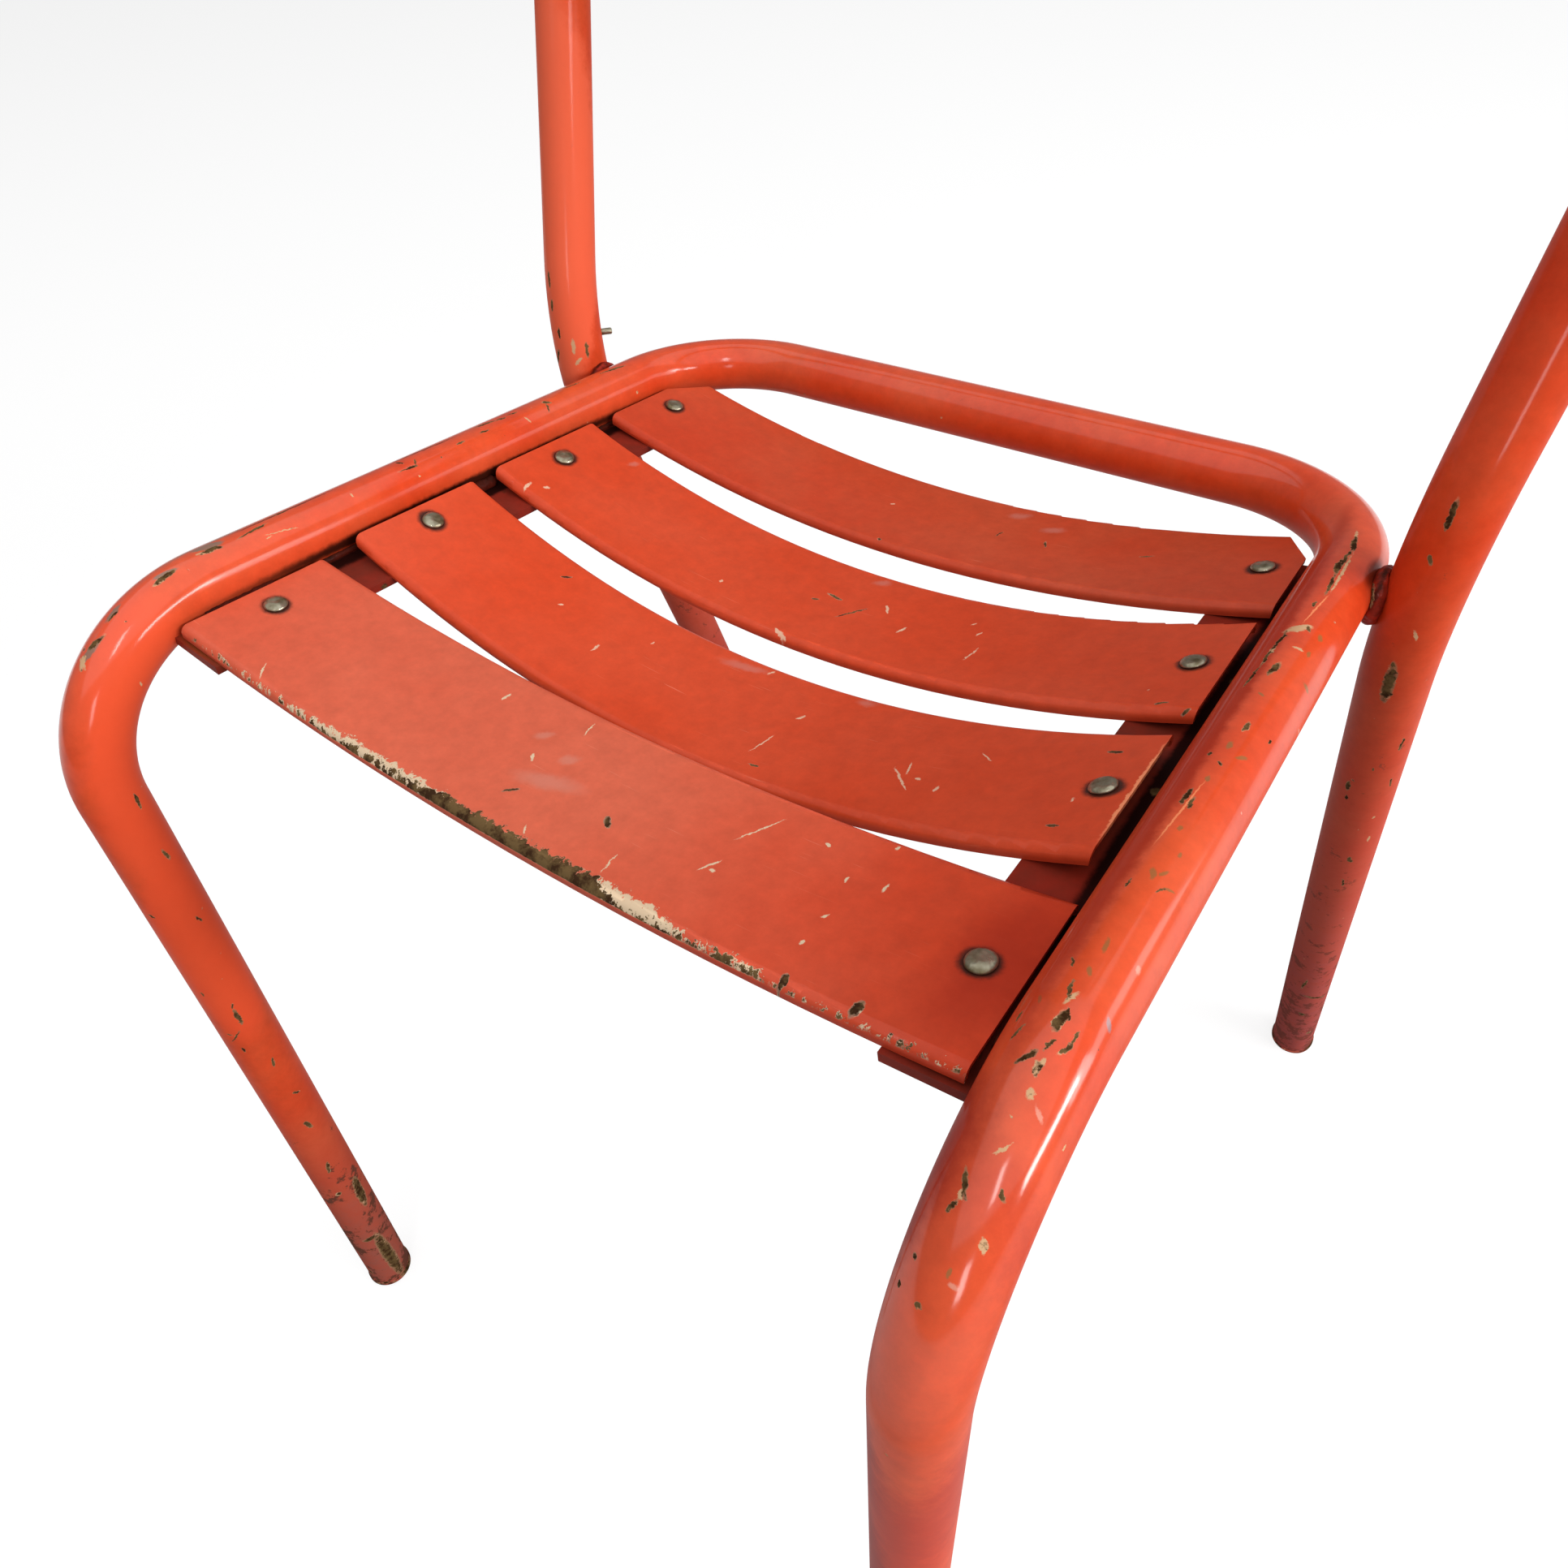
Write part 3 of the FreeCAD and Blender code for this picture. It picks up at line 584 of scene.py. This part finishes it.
backTube = {
    **redEnamel,
    "axis": [(199, 190, 0), (180, 85, 368), (178, 81, 410), (181, 89, 451), (203, 200, 735)],
    # The back tube's pinker dust is partly a painted sheen on the lower legs
    "dust": 0.9, "dustTop": 420, "dustColour": "#B25A56", "coatLow": 0.08, "scuff": 0.6, "scuffTop": 420,
    "scuffSize": 9,
    # Painted light: the upright at the sitter's right lighter orange
    "stains": [("#F06A48", 0.85, 14, 0.2, [((-177, 62, 410), (-186, 110, 530), 44)])],
    "bare": [
        ((-183, 77, 449), (-182, 75, 443), 1.8), ((-181, 74, 438), (-182, 73, 434), 1.8),
        ((-181, 71, 417), (-185, 71, 410), 2.0), ((-169, 77, 420), (-169, 76, 414), 1.7),
        ((-179, 72, 427), (-179, 71, 423), 1.6), ((178, 75, 440), (178, 73, 432), 2.3),
        ((177, 71, 423), (178, 71, 421), 1.8), ((179, 71, 383), (180, 75, 366), 4.2),
        ((190, 85, 344), (190, 87, 337), 1.3), ((191, 93, 318), (192, 95, 312), 1.2),
        ((179, 91, 312), (179, 92, 306), 2.1), ((180, 94, 302), (180, 94, 300), 1.4),
        ((185, 86, 325), (185, 87, 324), 1.0), ((189, 106, 257), (190, 108, 254), 1.9),
        ((190, 112, 237), (191, 114, 231), 1.2), ((193, 149, 104), (194, 145, 118), 1.5),
        ((196, 152, 96), (204, 159, 93), 2.5), ((198, 160, 68), (199, 160, 67), 3.1),
    ],
    "primer": [
        ((-173, 73, 422), (-173, 72, 417), 2.2), ((-173, 72, 412), (-171, 73, 414), 1.9),
        ((181, 70, 398), (182, 70, 395), 1.5), ((193, 105, 271), (193, 104, 275), 1.1),
        ((191, 99, 290), (191, 99, 291), 1.1),
    ],
}
sheetEnamel = {
    **redEnamel,
    "paint": "#D4451F", "faded": "#D64E2C",
    # The slats get heavier painted shade on their sides and lips
    "plane": "seat", "grime": 0.55, "cloudSize": 80, "coat": 0.25, "coatRoughness": 0.22,
    "roughness": 0.55, "specular": 0.15,
    "scratchTurns": (28, -35), "scratch": 0.35, "chips": 0.16, "chipSpacing": 14.0, "chipSize": 3.4,
    "chipPrimer": 0.9, "waveSize": 30, "primerColour": "#E3B598",
}
frontSlat = {
    **sheetEnamel,
    "paint": "#D2401D", "faded": "#D9664A", "cloudSize": 120, "primerColour": "#DCC2A2",
    "fadedAlong": [(-150, 0.55), (-110, 0.8), (-40, 0.95), (20, 0.85), (70, 0.35), (120, 0.1), (150, 0.0)],
    "bare": [
        ((24, 61), (26, 59), 2.4), ((-9, 53), (-6, 56), 1.2), ((99, 40), (99, 42), 2.4),
        ((118, 41), (118, 44), 3.0),
    ],
    "primer": [
        ((59, 73), (66, 87), 0.6), ((58, 59), (61, 65), 0.8), ((61, 61), (62, 61), 1.2),
        ((37, 45), (36, 52), 0.6), ((81, 84), (82, 84), 1.2), ((93, 75), (93, 76), 1.0),
        ((103, 76), (103, 79), 1.0), ((98, 91), (98, 92), 1.0), ((95, 62), (96, 63), 1.0),
        ((96, 52), (96, 53), 1.0), ((-41, 82), (-41, 85), 1.2), ((-14, 69), (-12, 67), 1.2),
        ((-8, 84), (-9, 90), 0.7), ((9, 44), (7, 47), 0.7), ((-107, 41), (-112, 47), 0.7),
    ],
    "stains": [
        ("#D08A78", 0.5, 8, 0.8, [
            ((-19, 76), (-16, 78), 5), ((-5, 72), (-1, 75), 5), ((-12, 60), (10, 66), 9),
        ]),
        # Painted shade: darker red towards the slat's end at the sitter's left
        ("#98200F", 0.55, 14, 0.8, [((136, 50), (140, 90), 34)]),
        (*rivetDirt, bothSides((134, 67), (135, 67), 11.5)),
    ],
    "edge": {
        "edgeAt": 39.1, "raggedSize": 2.6,
        "primerWidths": [
            (-150, 0.2), (-115, 0.9), (-82, 1.8), (-60, 3.4), (-30, 4.0), (38, 4.6),
            (58, 4.2), (72, 1.4), (84, 2.4), (100, 0.9), (150, 0.8),
        ],
        "bareWidths": [
            (-150, 0.0), (-90, 0.2), (-60, 1.0), (-32, 1.8), (-20, 4.2), (36, 4.4),
            (46, 0.8), (72, 0.8), (84, 1.6), (100, 0.2), (150, 0.2),
        ],
    },
}
secondSlat = {
    **sheetEnamel,
    "bare": [
        ((-86, 151), (-84, 153), 1.6), ((31, 114), (34, 114), 1.2), ((128, 151), (131, 151), 1.4),
        ((127, 116), (129, 116), 1.3),
    ],
    "primer": [
        ((-76, 139), (-75, 140), 1.1), ((-51, 129), (-51, 133), 1.1), ((-38, 146), (-38, 147), 1.1),
        ((6, 157), (7, 159), 1.3), ((27, 119), (29, 130), 0.7), ((30, 141), (31, 143), 1.3),
        ((73, 131), (82, 122), 0.9), ((76, 135), (78, 129), 0.7), ((82, 128), (83, 128), 1.1),
        ((90, 124), (90, 126), 1.2), ((94, 145), (98, 142), 0.6), ((128, 127), (128, 128), 1.0),
    ],
    "stains": [
        (*rubbedPale, [((-14, 154), (7, 158), 6), ((43, 158), (47, 159), 6)]),
        # A painted highlight along the slat's end edge
        ("#FFA070", 0.9, 4, 0.5, [((141.4, 108), (140.6, 160), 1.5)]),
        (*rivetDirt, bothSides((133, 134), (134, 134), 11.5)),
    ],
}
thirdSlat = {
    **sheetEnamel,
    "bare": [
        ((-6, 200), (-4, 201), 1.3), ((-3, 206), (3, 205), 1.6), ((8, 194), (15, 205), 1.0),
        ((130, 177), (133, 178), 1.2), ((139, 174), (140, 175), 1.3),
    ],
    "primer": [
        ((-128, 175), (-129, 179), 1.6), ((-124, 182), (-123, 183), 1.6), ((-40, 188), (-40, 189), 1.3),
        ((20, 210), (23, 206), 1.3), ((33, 196), (34, 200), 1.2), ((-5, 176), (0, 174), 1.9),
        ((54, 211), (55, 213), 0.8), ((59, 205), (60, 208), 0.8), ((63, 189), (64, 198), 0.7),
    ],
    "stains": [
        (*rubbedPale, [((8, 222), (12, 224), 6), ((-114, 221), (-113, 224), 4)]),
        (*rivetDirt, bothSides((132, 201), (132, 202), 11.5)),
    ],
}
rearSlat = {
    **sheetEnamel,
    "paint": "#C8401F", "faded": "#C74E2E",
    "bare": [
        ((33, 268), (34, 272), 1.0), ((52, 271), (54, 267), 1.2), ((89, 270), (93, 272), 1.0),
        ((-5, 243), (-4, 243), 1.3),
    ],
    "primer": [((-16, 270), (-15, 271), 1.2)],
    "stains": [
        (*rubbedPale, [((31, 286), (36, 289), 7), ((48, 280), (53, 282), 7)]),
        (*rivetDirt, bothSides((130, 268), (131, 269), 11.5)),
    ],
}
backSlat = {**sheetEnamel, "plane": "back"}
ledge = {
    **redEnamel,
    "paint": "#94281A", "faded": "#6E2A1E", "cloudSize": 25, "coat": 0.15, "coatRoughness": 0.3,
    "chips": 0.6, "chipSpacing": 6.0, "chipSize": 4.0, "primerColour": "#4E3020",
    "dirt": [
        ("#7A3E1C", 0.8, 4, 0.5, [((-149, -140, 416), (-122, -138, 413), 14)]),
        ("#561A10", 0.8, 4, 0.5, [((149, -140, 416), (122, -138, 413), 14)]),
        # Painted shade: the slot between the slats' ends and the rail, nearly black
        ("#120605", 0.95, 3, 0.4, bothSides((147, -150, 416), (142, 112, 388), 10)),
    ],
}
weld = {
    **redEnamel,
    # The bead's darker red and the dark line along its middle are painted shade of the recess between the
    # tubes, the line partly a crack
    "paint": "#A82A18", "faded": "#6E2014", "cloudSize": 5, "coat": 0.2, "wave": 0.5, "waveSize": 2.5,
    "dirt": [("#1E120A", 0.95, 2, 0.4, bothSides((166.8, 82, 409), (167, 71, 401), 3.4))],
    "bare": [((164, 77, 405), (167, 71, 402), 1.4)],
}
ledgeWeld = {**weld, "paint": "#4E1A10", "faded": "#2E140E", "coat": 0.05, "bare": []}
footCap = {
    **redEnamel,
    "dust": 1.0, "dustTop": 100, "scuff": 0.9, "coat": 0.2,
    "chips": 1.0, "chipsLow": 1.3, "chipSpacing": 5.0, "chipSize": 4.5,
    "bare": [((-166, -224, 12), (-164, -226, 2), 9.0)],
}

# The rivets' and pegs' zinc, sizes in mm
zincLook = {"pale": "#ACA792", "dark": "#6E6448", "cloudSize": 4, "dentSize": 3}


def dullZinc(name):
    # Zinc-plated steel, weathered: soft grey-olive metal, dented by the setting hammer
    material, tree = startMaterial(name)
    point = addNode(tree, "TexCoord").outputs["Object"]
    cloud = addNode(tree, "TexNoise", {"Vector": point, "Scale": 1000 / zincLook["cloudSize"], "Detail": 4.0})
    spread = addNode(tree, "MapRange", {"Value": cloud, "From Min": 0.35, "From Max": 0.65})
    colour = addNode(
        tree, "Mix", {"Factor": spread, "A": zincLook["pale"], "B": zincLook["dark"]}, data_type="RGBA"
    )
    rough = addNode(
        tree, "MapRange", {"Value": cloud, "From Min": 0.3, "From Max": 0.7, "To Min": 0.25, "To Max": 0.5}
    )
    dent = addNode(tree, "TexNoise", {"Vector": point, "Scale": 1000 / zincLook["dentSize"], "Detail": 1.0})
    bump = addNode(tree, "Bump", {"Height": dent, "Strength": 0.5, "Distance": 0.0006})
    shader = addNode(
        tree, "BsdfPrincipled", {"Base Color": colour, "Metallic": 0.85, "Roughness": rough, "Normal": bump}
    )
    addNode(tree, "OutputMaterial", {"Surface": shader})
    return material


# A tube's enamels, each with the part of the tube that shows its marks; the last that fits is used
tubeEnamel = {
    "seat_frame_tube": [
        (enamel("glossyEnamelSeatTubeLeft", seatTubeLeft), lambda spot: spot.x > 0),
        (enamel("glossyEnamelLeftLeg", seatTubeLeftLeg), lambda spot: spot.x > 0 and spot.y < -0.12),
        (enamel("glossyEnamelSeatTubeRight", seatTubeRight), lambda spot: spot.x < 0),
        (enamel("glossyEnamelRightLeg", seatTubeRightLeg), lambda spot: spot.x < 0 and spot.y < -0.12),
    ],
    "back_frame_tube": [(enamel("glossyEnamelBackTube", backTube), lambda spot: True)],
}
dress("seat_slat_front", enamel("fadedEnamelFrontSlat", frontSlat))
dress("seat_slat_second", enamel("satinEnamelSecondSlat", secondSlat))
dress("seat_slat_third", enamel("satinEnamelThirdSlat", thirdSlat))
dress("seat_slat_rear", enamel("satinEnamelRearSlat", rearSlat))
dress("back_slat", enamel("satinEnamelBackSlats", backSlat))
ledgeEnamel = enamel("dullEnamelLedges", ledge)
for name in ("seat_ledge_left", "seat_ledge_right", "back_ledge_left", "back_ledge_right"):
    dress(name, ledgeEnamel)
frameWeldEnamel = enamel("crackedEnamelWelds", weld)
ledgeWeldEnamel = enamel("dirtyEnamelLedgeWelds", ledgeWeld)
weldEnamel = {"frame": frameWeldEnamel, "seat": ledgeWeldEnamel, "back": ledgeWeldEnamel}
dress("foot_cap", enamel("dustyEnamelFeet", footCap))
zinc = dullZinc("weatheredZinc")
dress("upright_peg", zinc)
print("finishes done")


def pickFaces(piece, wanted):
    mesh = bmesh.from_edit_mesh(piece.data)
    for face in mesh.faces:
        face.select_set(wanted(face))
    mesh.select_flush_mode()
    bmesh.update_edit_mesh(piece.data)


def addToScene(name, data):
    thing = bpy.data.objects.new(name, data)
    bpy.context.scene.collection.objects.link(thing)
    return thing


def selectOnly(*pieces):
    # The first becomes the active one
    bpy.ops.object.select_all(action="DESELECT")
    for piece in pieces:
        piece.select_set(True)
    bpy.context.view_layer.objects.active = pieces[0]


def mergeTouching():
    bpy.ops.mesh.select_all(action="SELECT")
    bpy.ops.mesh.remove_doubles(threshold=0.00001)


def finishPiece(piece, name, angle):
    # Closes the modelling: normals outwards, place kept in the mesh, smooth but for real edges
    selectOnly(piece)
    bpy.ops.object.transform_apply(location=True, rotation=True, scale=True)
    bpy.ops.object.mode_set(mode="EDIT")
    bpy.ops.mesh.select_all(action="SELECT")
    bpy.ops.mesh.normals_make_consistent(inside=False)
    bpy.ops.object.mode_set(mode="OBJECT")
    bpy.ops.object.shade_smooth_by_angle(angle=math.radians(angle))
    piece.name = name
    piece.data.name = name


def applyModifier(piece, kind, **settings):
    modifier = piece.modifiers.new(kind.lower(), kind)
    for name, value in settings.items():
        setattr(modifier, name, value)
    bpy.context.view_layer.objects.active = piece
    bpy.ops.object.modifier_apply(modifier=modifier.name)


# Tubes in mm: half of each from its foot, and the bends' radii on the way. The rest mirrors it
tubes = {
    "seat_frame_tube": {
        "name": "seatTubeBent", "slot": "seat_tube_enamel",
        "corners": [(174.11, -230.35, 0.0), (160.5, -180.59, 430.0), (154.0, 140.27, 392.87)],
        "bends": [59.0, 53.0],
    },
    "back_frame_tube": {
        "name": "backTubeBent", "slot": "back_tube_enamel",
        "corners": [(199.16, 190.27, 0.0), (177.67, 73.49, 409.96), (208.33, 225.17, 799.0)],
        "bends": [130.0, 60.0],
    },
}
tubeShape = {"radius": 0.011, "wall": 0.0015, "foot": 0.0045, "sides": 72, "stepsPerTurn": 144}  # in metres


def makeTube(node, path):
    # A ring is drawn along each straight run and spun round each bend
    right = [Vector(corner) / 1000 for corner in path["corners"]]
    corners = right + [Vector((-corner.x, corner.y, corner.z)) for corner in reversed(right)]
    radii = [radius / 1000 for radius in path["bends"] + path["bends"][::-1]]
    corners[0] += (corners[1] - corners[0]).normalized() * tubeShape["foot"]
    corners[-1] += (corners[-2] - corners[-1]).normalized() * tubeShape["foot"]
    bpy.ops.mesh.primitive_circle_add(
        vertices=tubeShape["sides"], radius=tubeShape["radius"], location=corners[0],
        rotation=(corners[1] - corners[0]).to_track_quat("Z", "Y").to_euler(),
    )
    piece = bpy.context.object
    bpy.ops.object.transform_apply(location=True, rotation=True)
    bpy.ops.object.mode_set(mode="EDIT")
    bpy.ops.mesh.select_all(action="SELECT")
    here = corners[0]
    for before, corner, after, radius in zip(corners, corners[1:], corners[2:], radii):
        back, ahead = (before - corner).normalized(), (after - corner).normalized()
        half = back.angle(ahead) / 2
        bendStart = corner + back * radius / math.tan(half)
        centre = corner + (back + ahead).normalized() * radius / math.sin(half)
        turn = math.pi - 2 * half
        bpy.ops.mesh.extrude_region_move(TRANSFORM_OT_translate={"value": bendStart - here})
        bpy.ops.mesh.spin(
            steps=round(tubeShape["stepsPerTurn"] * turn / (2 * math.pi)), angle=turn, center=centre,
            axis=back.cross(ahead),
        )
        here = corner + ahead * radius / math.tan(half)
    bpy.ops.mesh.extrude_region_move(TRANSFORM_OT_translate={"value": corners[-1] - here})
    mergeTouching()
    bpy.ops.mesh.normals_make_consistent(inside=False)
    bpy.ops.object.mode_set(mode="OBJECT")
    applyModifier(piece, "SOLIDIFY", thickness=tubeShape["wall"], offset=-1)
    finishPiece(piece, path["name"], 50)
    for index, (material, covers) in enumerate(tubeEnamel[node]):
        piece.data.materials.append(material)
        for face in piece.data.polygons:
            if covers(face.center):
                face.material_index = index
    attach(piece, "root")
    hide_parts(node)


for node, path in tubes.items():
    makeTube(node, path)
print("tubes done")


# Rivets: one is modelled with its head on the origin, then copied, each turned another way so that
# the leaning, dented heads differ. Sizes in metres
rivet = {
    "head": 0.0040, "rim": 0.0007, "rings": [(0.0007, 0.00055), (0.0009, 0.0003), (0.0011, 0.0001)],
    "shank": 0.0023, "length": 0.0060, "tail": [(1.5, 0.0012), (0.93, 0.0011), (0.7, 0.0007), (0.4, 0.0002)],
    "dent": 0.00035, "dentSize": 0.0028, "headLean": 7, "turn": 2.4, "neck": 0.003,
}

# Ledges in mm: how far their edges and the rivets are from the rail's axis, how high their underside
# is at the outer edge and their slats' ends at the inner one, and how much they fall per mm
ledgePlace = {
    "outer": 8.34, "inner": 33.15, "rivets": 24.5, "underside": -10.94, "slatEnds": -6.91, "fall": 0.1228,
}

# Panels in mm: the rails' half spacing where the plane starts, its taper, and each slat's middle and dip
rivetRows = {
    "seat_rivets": {
        "plane": "seat", "half": 160.5, "taper": -0.0201,
        "slats": [(67.0, 16.5), (134.2, 31.5), (201.4, 27.5), (268.6, 22.0)],
    },
    "back_rivets": {
        "plane": "back", "half": 177.67, "taper": 0.0734,
        "slats": [(228.9, 24.0), (296.1, 26.0), (363.3, 24.0)],
    },
}


def lumps(name, size):
    texture = bpy.data.textures.new(name, "CLOUDS")
    texture.noise_scale = size
    texture.noise_depth = 2
    return texture


def makeRivet():
    bpy.ops.mesh.primitive_cylinder_add(
        vertices=24, radius=rivet["head"], depth=rivet["rim"], location=(0, 0, rivet["rim"] / 2)
    )
    piece = bpy.context.object
    bpy.ops.object.transform_apply(location=True)
    bpy.ops.object.mode_set(mode="EDIT")
    bpy.ops.mesh.select_mode(type="FACE")
    pickFaces(piece, lambda face: face.normal.z > 0.9)
    for inset, rise in rivet["rings"]:
        bpy.ops.mesh.inset(thickness=inset)
        bpy.ops.transform.translate(value=(0, 0, rise))
    bpy.ops.transform.rotate(value=math.radians(rivet["headLean"]), orient_axis="X")
    pickFaces(piece, lambda face: face.normal.z < -0.9)
    bpy.ops.mesh.inset(thickness=rivet["head"] - rivet["shank"])
    bpy.ops.mesh.extrude_region_move(TRANSFORM_OT_translate={"value": (0, 0, -rivet["length"])})
    for widening, drop in rivet["tail"]:
        bpy.ops.mesh.extrude_region_move(TRANSFORM_OT_translate={"value": (0, 0, -drop)})
        bpy.ops.transform.resize(value=(widening, widening, 1))
    bpy.ops.object.mode_set(mode="OBJECT")
    applyModifier(piece, "SUBSURF", levels=2, render_levels=2)
    applyModifier(piece, "DISPLACE", texture=lumps("hammerDents", rivet["dentSize"]), strength=rivet["dent"])
    return piece


def placeRivets(node, row, pattern):
    # Each rivet stands square to its slat and reaches through the ledge below it
    panel = planes[row["plane"]]
    made = []
    for middle, dip in row["slats"]:
        half = row["half"] + row["taper"] * middle
        reach, sink = half - ledgePlace["inner"], dip + ledgePlace["slatEnds"]
        radius = (reach * reach + sink * sink) / (2 * sink)
        x = half - ledgePlace["rivets"]
        w = radius - dip - math.sqrt(radius * radius - x * x)
        lean = math.asin(x / radius)
        under = ledgePlace["underside"] - (half - ledgePlace["outer"] - x) * ledgePlace["fall"]
        through = (w - under) / (math.cos(lean) + ledgePlace["fall"] * math.sin(lean))
        for side in (1, -1):
            piece = addToScene("rivet", pattern.data.copy())
            for vertex in piece.data.vertices:
                if vertex.co.z < -rivet["neck"]:
                    vertex.co.z += rivet["length"] - through / 1000
            spin = Matrix.Rotation(rivet["turn"] * len(made) + side, 4, "Z")
            stand = Matrix.Rotation(-side * lean, 4, "Y")
            spot = Matrix.Translation(Vector((side * x, middle, w)) / 1000)
            tilt = Matrix.Rotation(math.radians(panel["tilt"]), 4, "X")
            piece.matrix_world = Matrix.Translation(panel["place"]) @ tilt @ spot @ stand @ spin
            made.append(piece)
    selectOnly(*made)
    bpy.ops.object.join()
    finishPiece(made[0], row["plane"] + "RivetsSet", 50)
    cover(made[0], zinc)
    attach(made[0], "root")
    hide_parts(node)


pattern = makeRivet()
for node, row in rivetRows.items():
    placeRivets(node, row, pattern)
bpy.data.objects.remove(pattern)
print("rivets done")


# Welds: lumpy beads under thick paint. Along the seat's ledges, paint and rust fill the corner too.
# Sizes in metres
welds = {
    "voxel": 0.0004, "lump": 0.0007, "lumpSize": 0.0024,
    "fillers": {
        "seat_ledge_welds": {
            "start": (0.1505, -0.1322, 0.4168), "end": (0.1461, 0.0905, 0.3911), "radius": 0.0013,
        },
    },
}


def makeWeld(node, side):
    piece = addToScene(node + "Bead", nodes[node].data.copy())
    selectOnly(piece)
    filler = welds["fillers"].get(node.rsplit("_", 1)[0])
    if filler:
        start, end = Vector(filler["start"]), Vector(filler["end"])
        start.x, end.x = start.x * side, end.x * side
        bpy.ops.mesh.primitive_cylinder_add(
            vertices=16, radius=filler["radius"], depth=(end - start).length, location=(start + end) / 2,
            rotation=(end - start).to_track_quat("Z", "Y").to_euler(),
        )
        selectOnly(piece, bpy.context.object)
        bpy.ops.object.join()
    bpy.ops.object.mode_set(mode="EDIT")
    mergeTouching()
    bpy.ops.object.mode_set(mode="OBJECT")
    applyModifier(piece, "REMESH", mode="VOXEL", voxel_size=welds["voxel"])
    applyModifier(piece, "DISPLACE", texture=lumps("weldLumps", welds["lumpSize"]), strength=welds["lump"])
    applyModifier(piece, "SMOOTH", factor=0.5, iterations=3)
    words = node.split("_")
    finishPiece(piece, words[0] + "".join(word.capitalize() for word in words[1:]) + "Bead", 60)
    cover(piece, weldEnamel[words[0]])
    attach(piece, "root")
    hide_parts(node)


for node in sorted(nodes):
    if "weld" in node:
        makeWeld(node, -1 if node.endswith("right") else 1)
print("welds done")


# Floor, lamps and camera: a white floor that lights the chair as a grey one would
studio = {
    "aim": (0, 0, 0.42),
    "floorSize": 14.0,
    "floorColour": "#8F8F8F",
    "floorGlow": 0.80,
    "worldStrength": 0.24,
    "lamps": {
        "overhead": {"place": (0.2, -0.3, 3.0), "aim": (0, 0, 0.4), "size": (5.5, 5.5), "power": 80},
        "leftWindow": {"place": (2.5, 0.07, 1.3), "size": (1.45, 0.3), "power": 36},
        "leftCurtain": {"place": (2.45, 0.8, 1.2), "size": (0.6, 0.9), "power": 12},
        "leftWall": {"place": (2.25, 1.6, 1.15), "size": (1.1, 0.6), "power": 6},
        "frontWindow": {"place": (0.98, -1.25, 2.2), "size": (0.22, 0.6), "power": 4.5},
        "lowWindow": {"place": (1.15, -1.85, 1.0), "size": (0.28, 0.5), "power": 4},
    },
}


def makeFloor():
    bpy.ops.mesh.primitive_plane_add(size=studio["floorSize"])
    floor = bpy.context.object
    floor.name = "studioFloor"
    material, tree = startMaterial("paleFloor")
    shade = addNode(tree, "BsdfDiffuse", {"Color": studio["floorColour"]})
    seen = addNode(tree, "LightPath").outputs
    direct = addNode(tree, "Math", {0: seen["Is Camera Ray"], 1: seen["Is Glossy Ray"]}, operation="MAXIMUM")
    direct = addNode(tree, "Math", {0: direct, 1: seen["Is Transmission Ray"]}, operation="MAXIMUM")
    strength = addNode(tree, "Math", {0: direct, 1: studio["floorGlow"]}, operation="MULTIPLY")
    glow = addNode(tree, "Emission", {"Strength": strength})
    both = addNode(tree, "AddShader", {0: shade, 1: glow})
    addNode(tree, "OutputMaterial", {"Surface": both})
    floor.data.materials.append(material)


def makeWorld():
    world = bpy.data.worlds.new("paleStudio")
    bpy.context.scene.world = world
    world.use_nodes = True
    tree = world.node_tree
    tree.nodes.clear()
    background = addNode(tree, "Background", {"Color": (1, 1, 1, 1), "Strength": studio["worldStrength"]})
    addNode(tree, "OutputWorld", {"Surface": background})


def makeLamps():
    for name, setting in studio["lamps"].items():
        lamp = bpy.data.lights.new(name, "AREA")
        lamp.shape = "RECTANGLE"
        lamp.size, lamp.size_y = setting["size"]
        lamp.energy = setting["power"]
        holder = addToScene(name, lamp)
        holder.location = setting["place"]
        away = Vector(setting["place"]) - Vector(setting.get("aim", studio["aim"]))
        holder.rotation_euler = away.to_track_quat("Z", "Y").to_euler()


def makeCamera():
    eye = bpy.data.cameras.new("photoCamera")
    eye.sensor_width = camera["sensor"]
    eye.lens = camera["lens"]
    eye.clip_start = 0.01
    holder = addToScene("photoCamera", eye)
    holder.location = camera["place"]
    holder.rotation_euler = Euler([math.radians(angle) for angle in camera["turn"]], "XYZ")
    bpy.context.scene.camera = holder


makeFloor()
makeWorld()
makeLamps()
makeCamera()
bpy.context.scene.view_settings.view_transform = "Standard"
print("studio done")
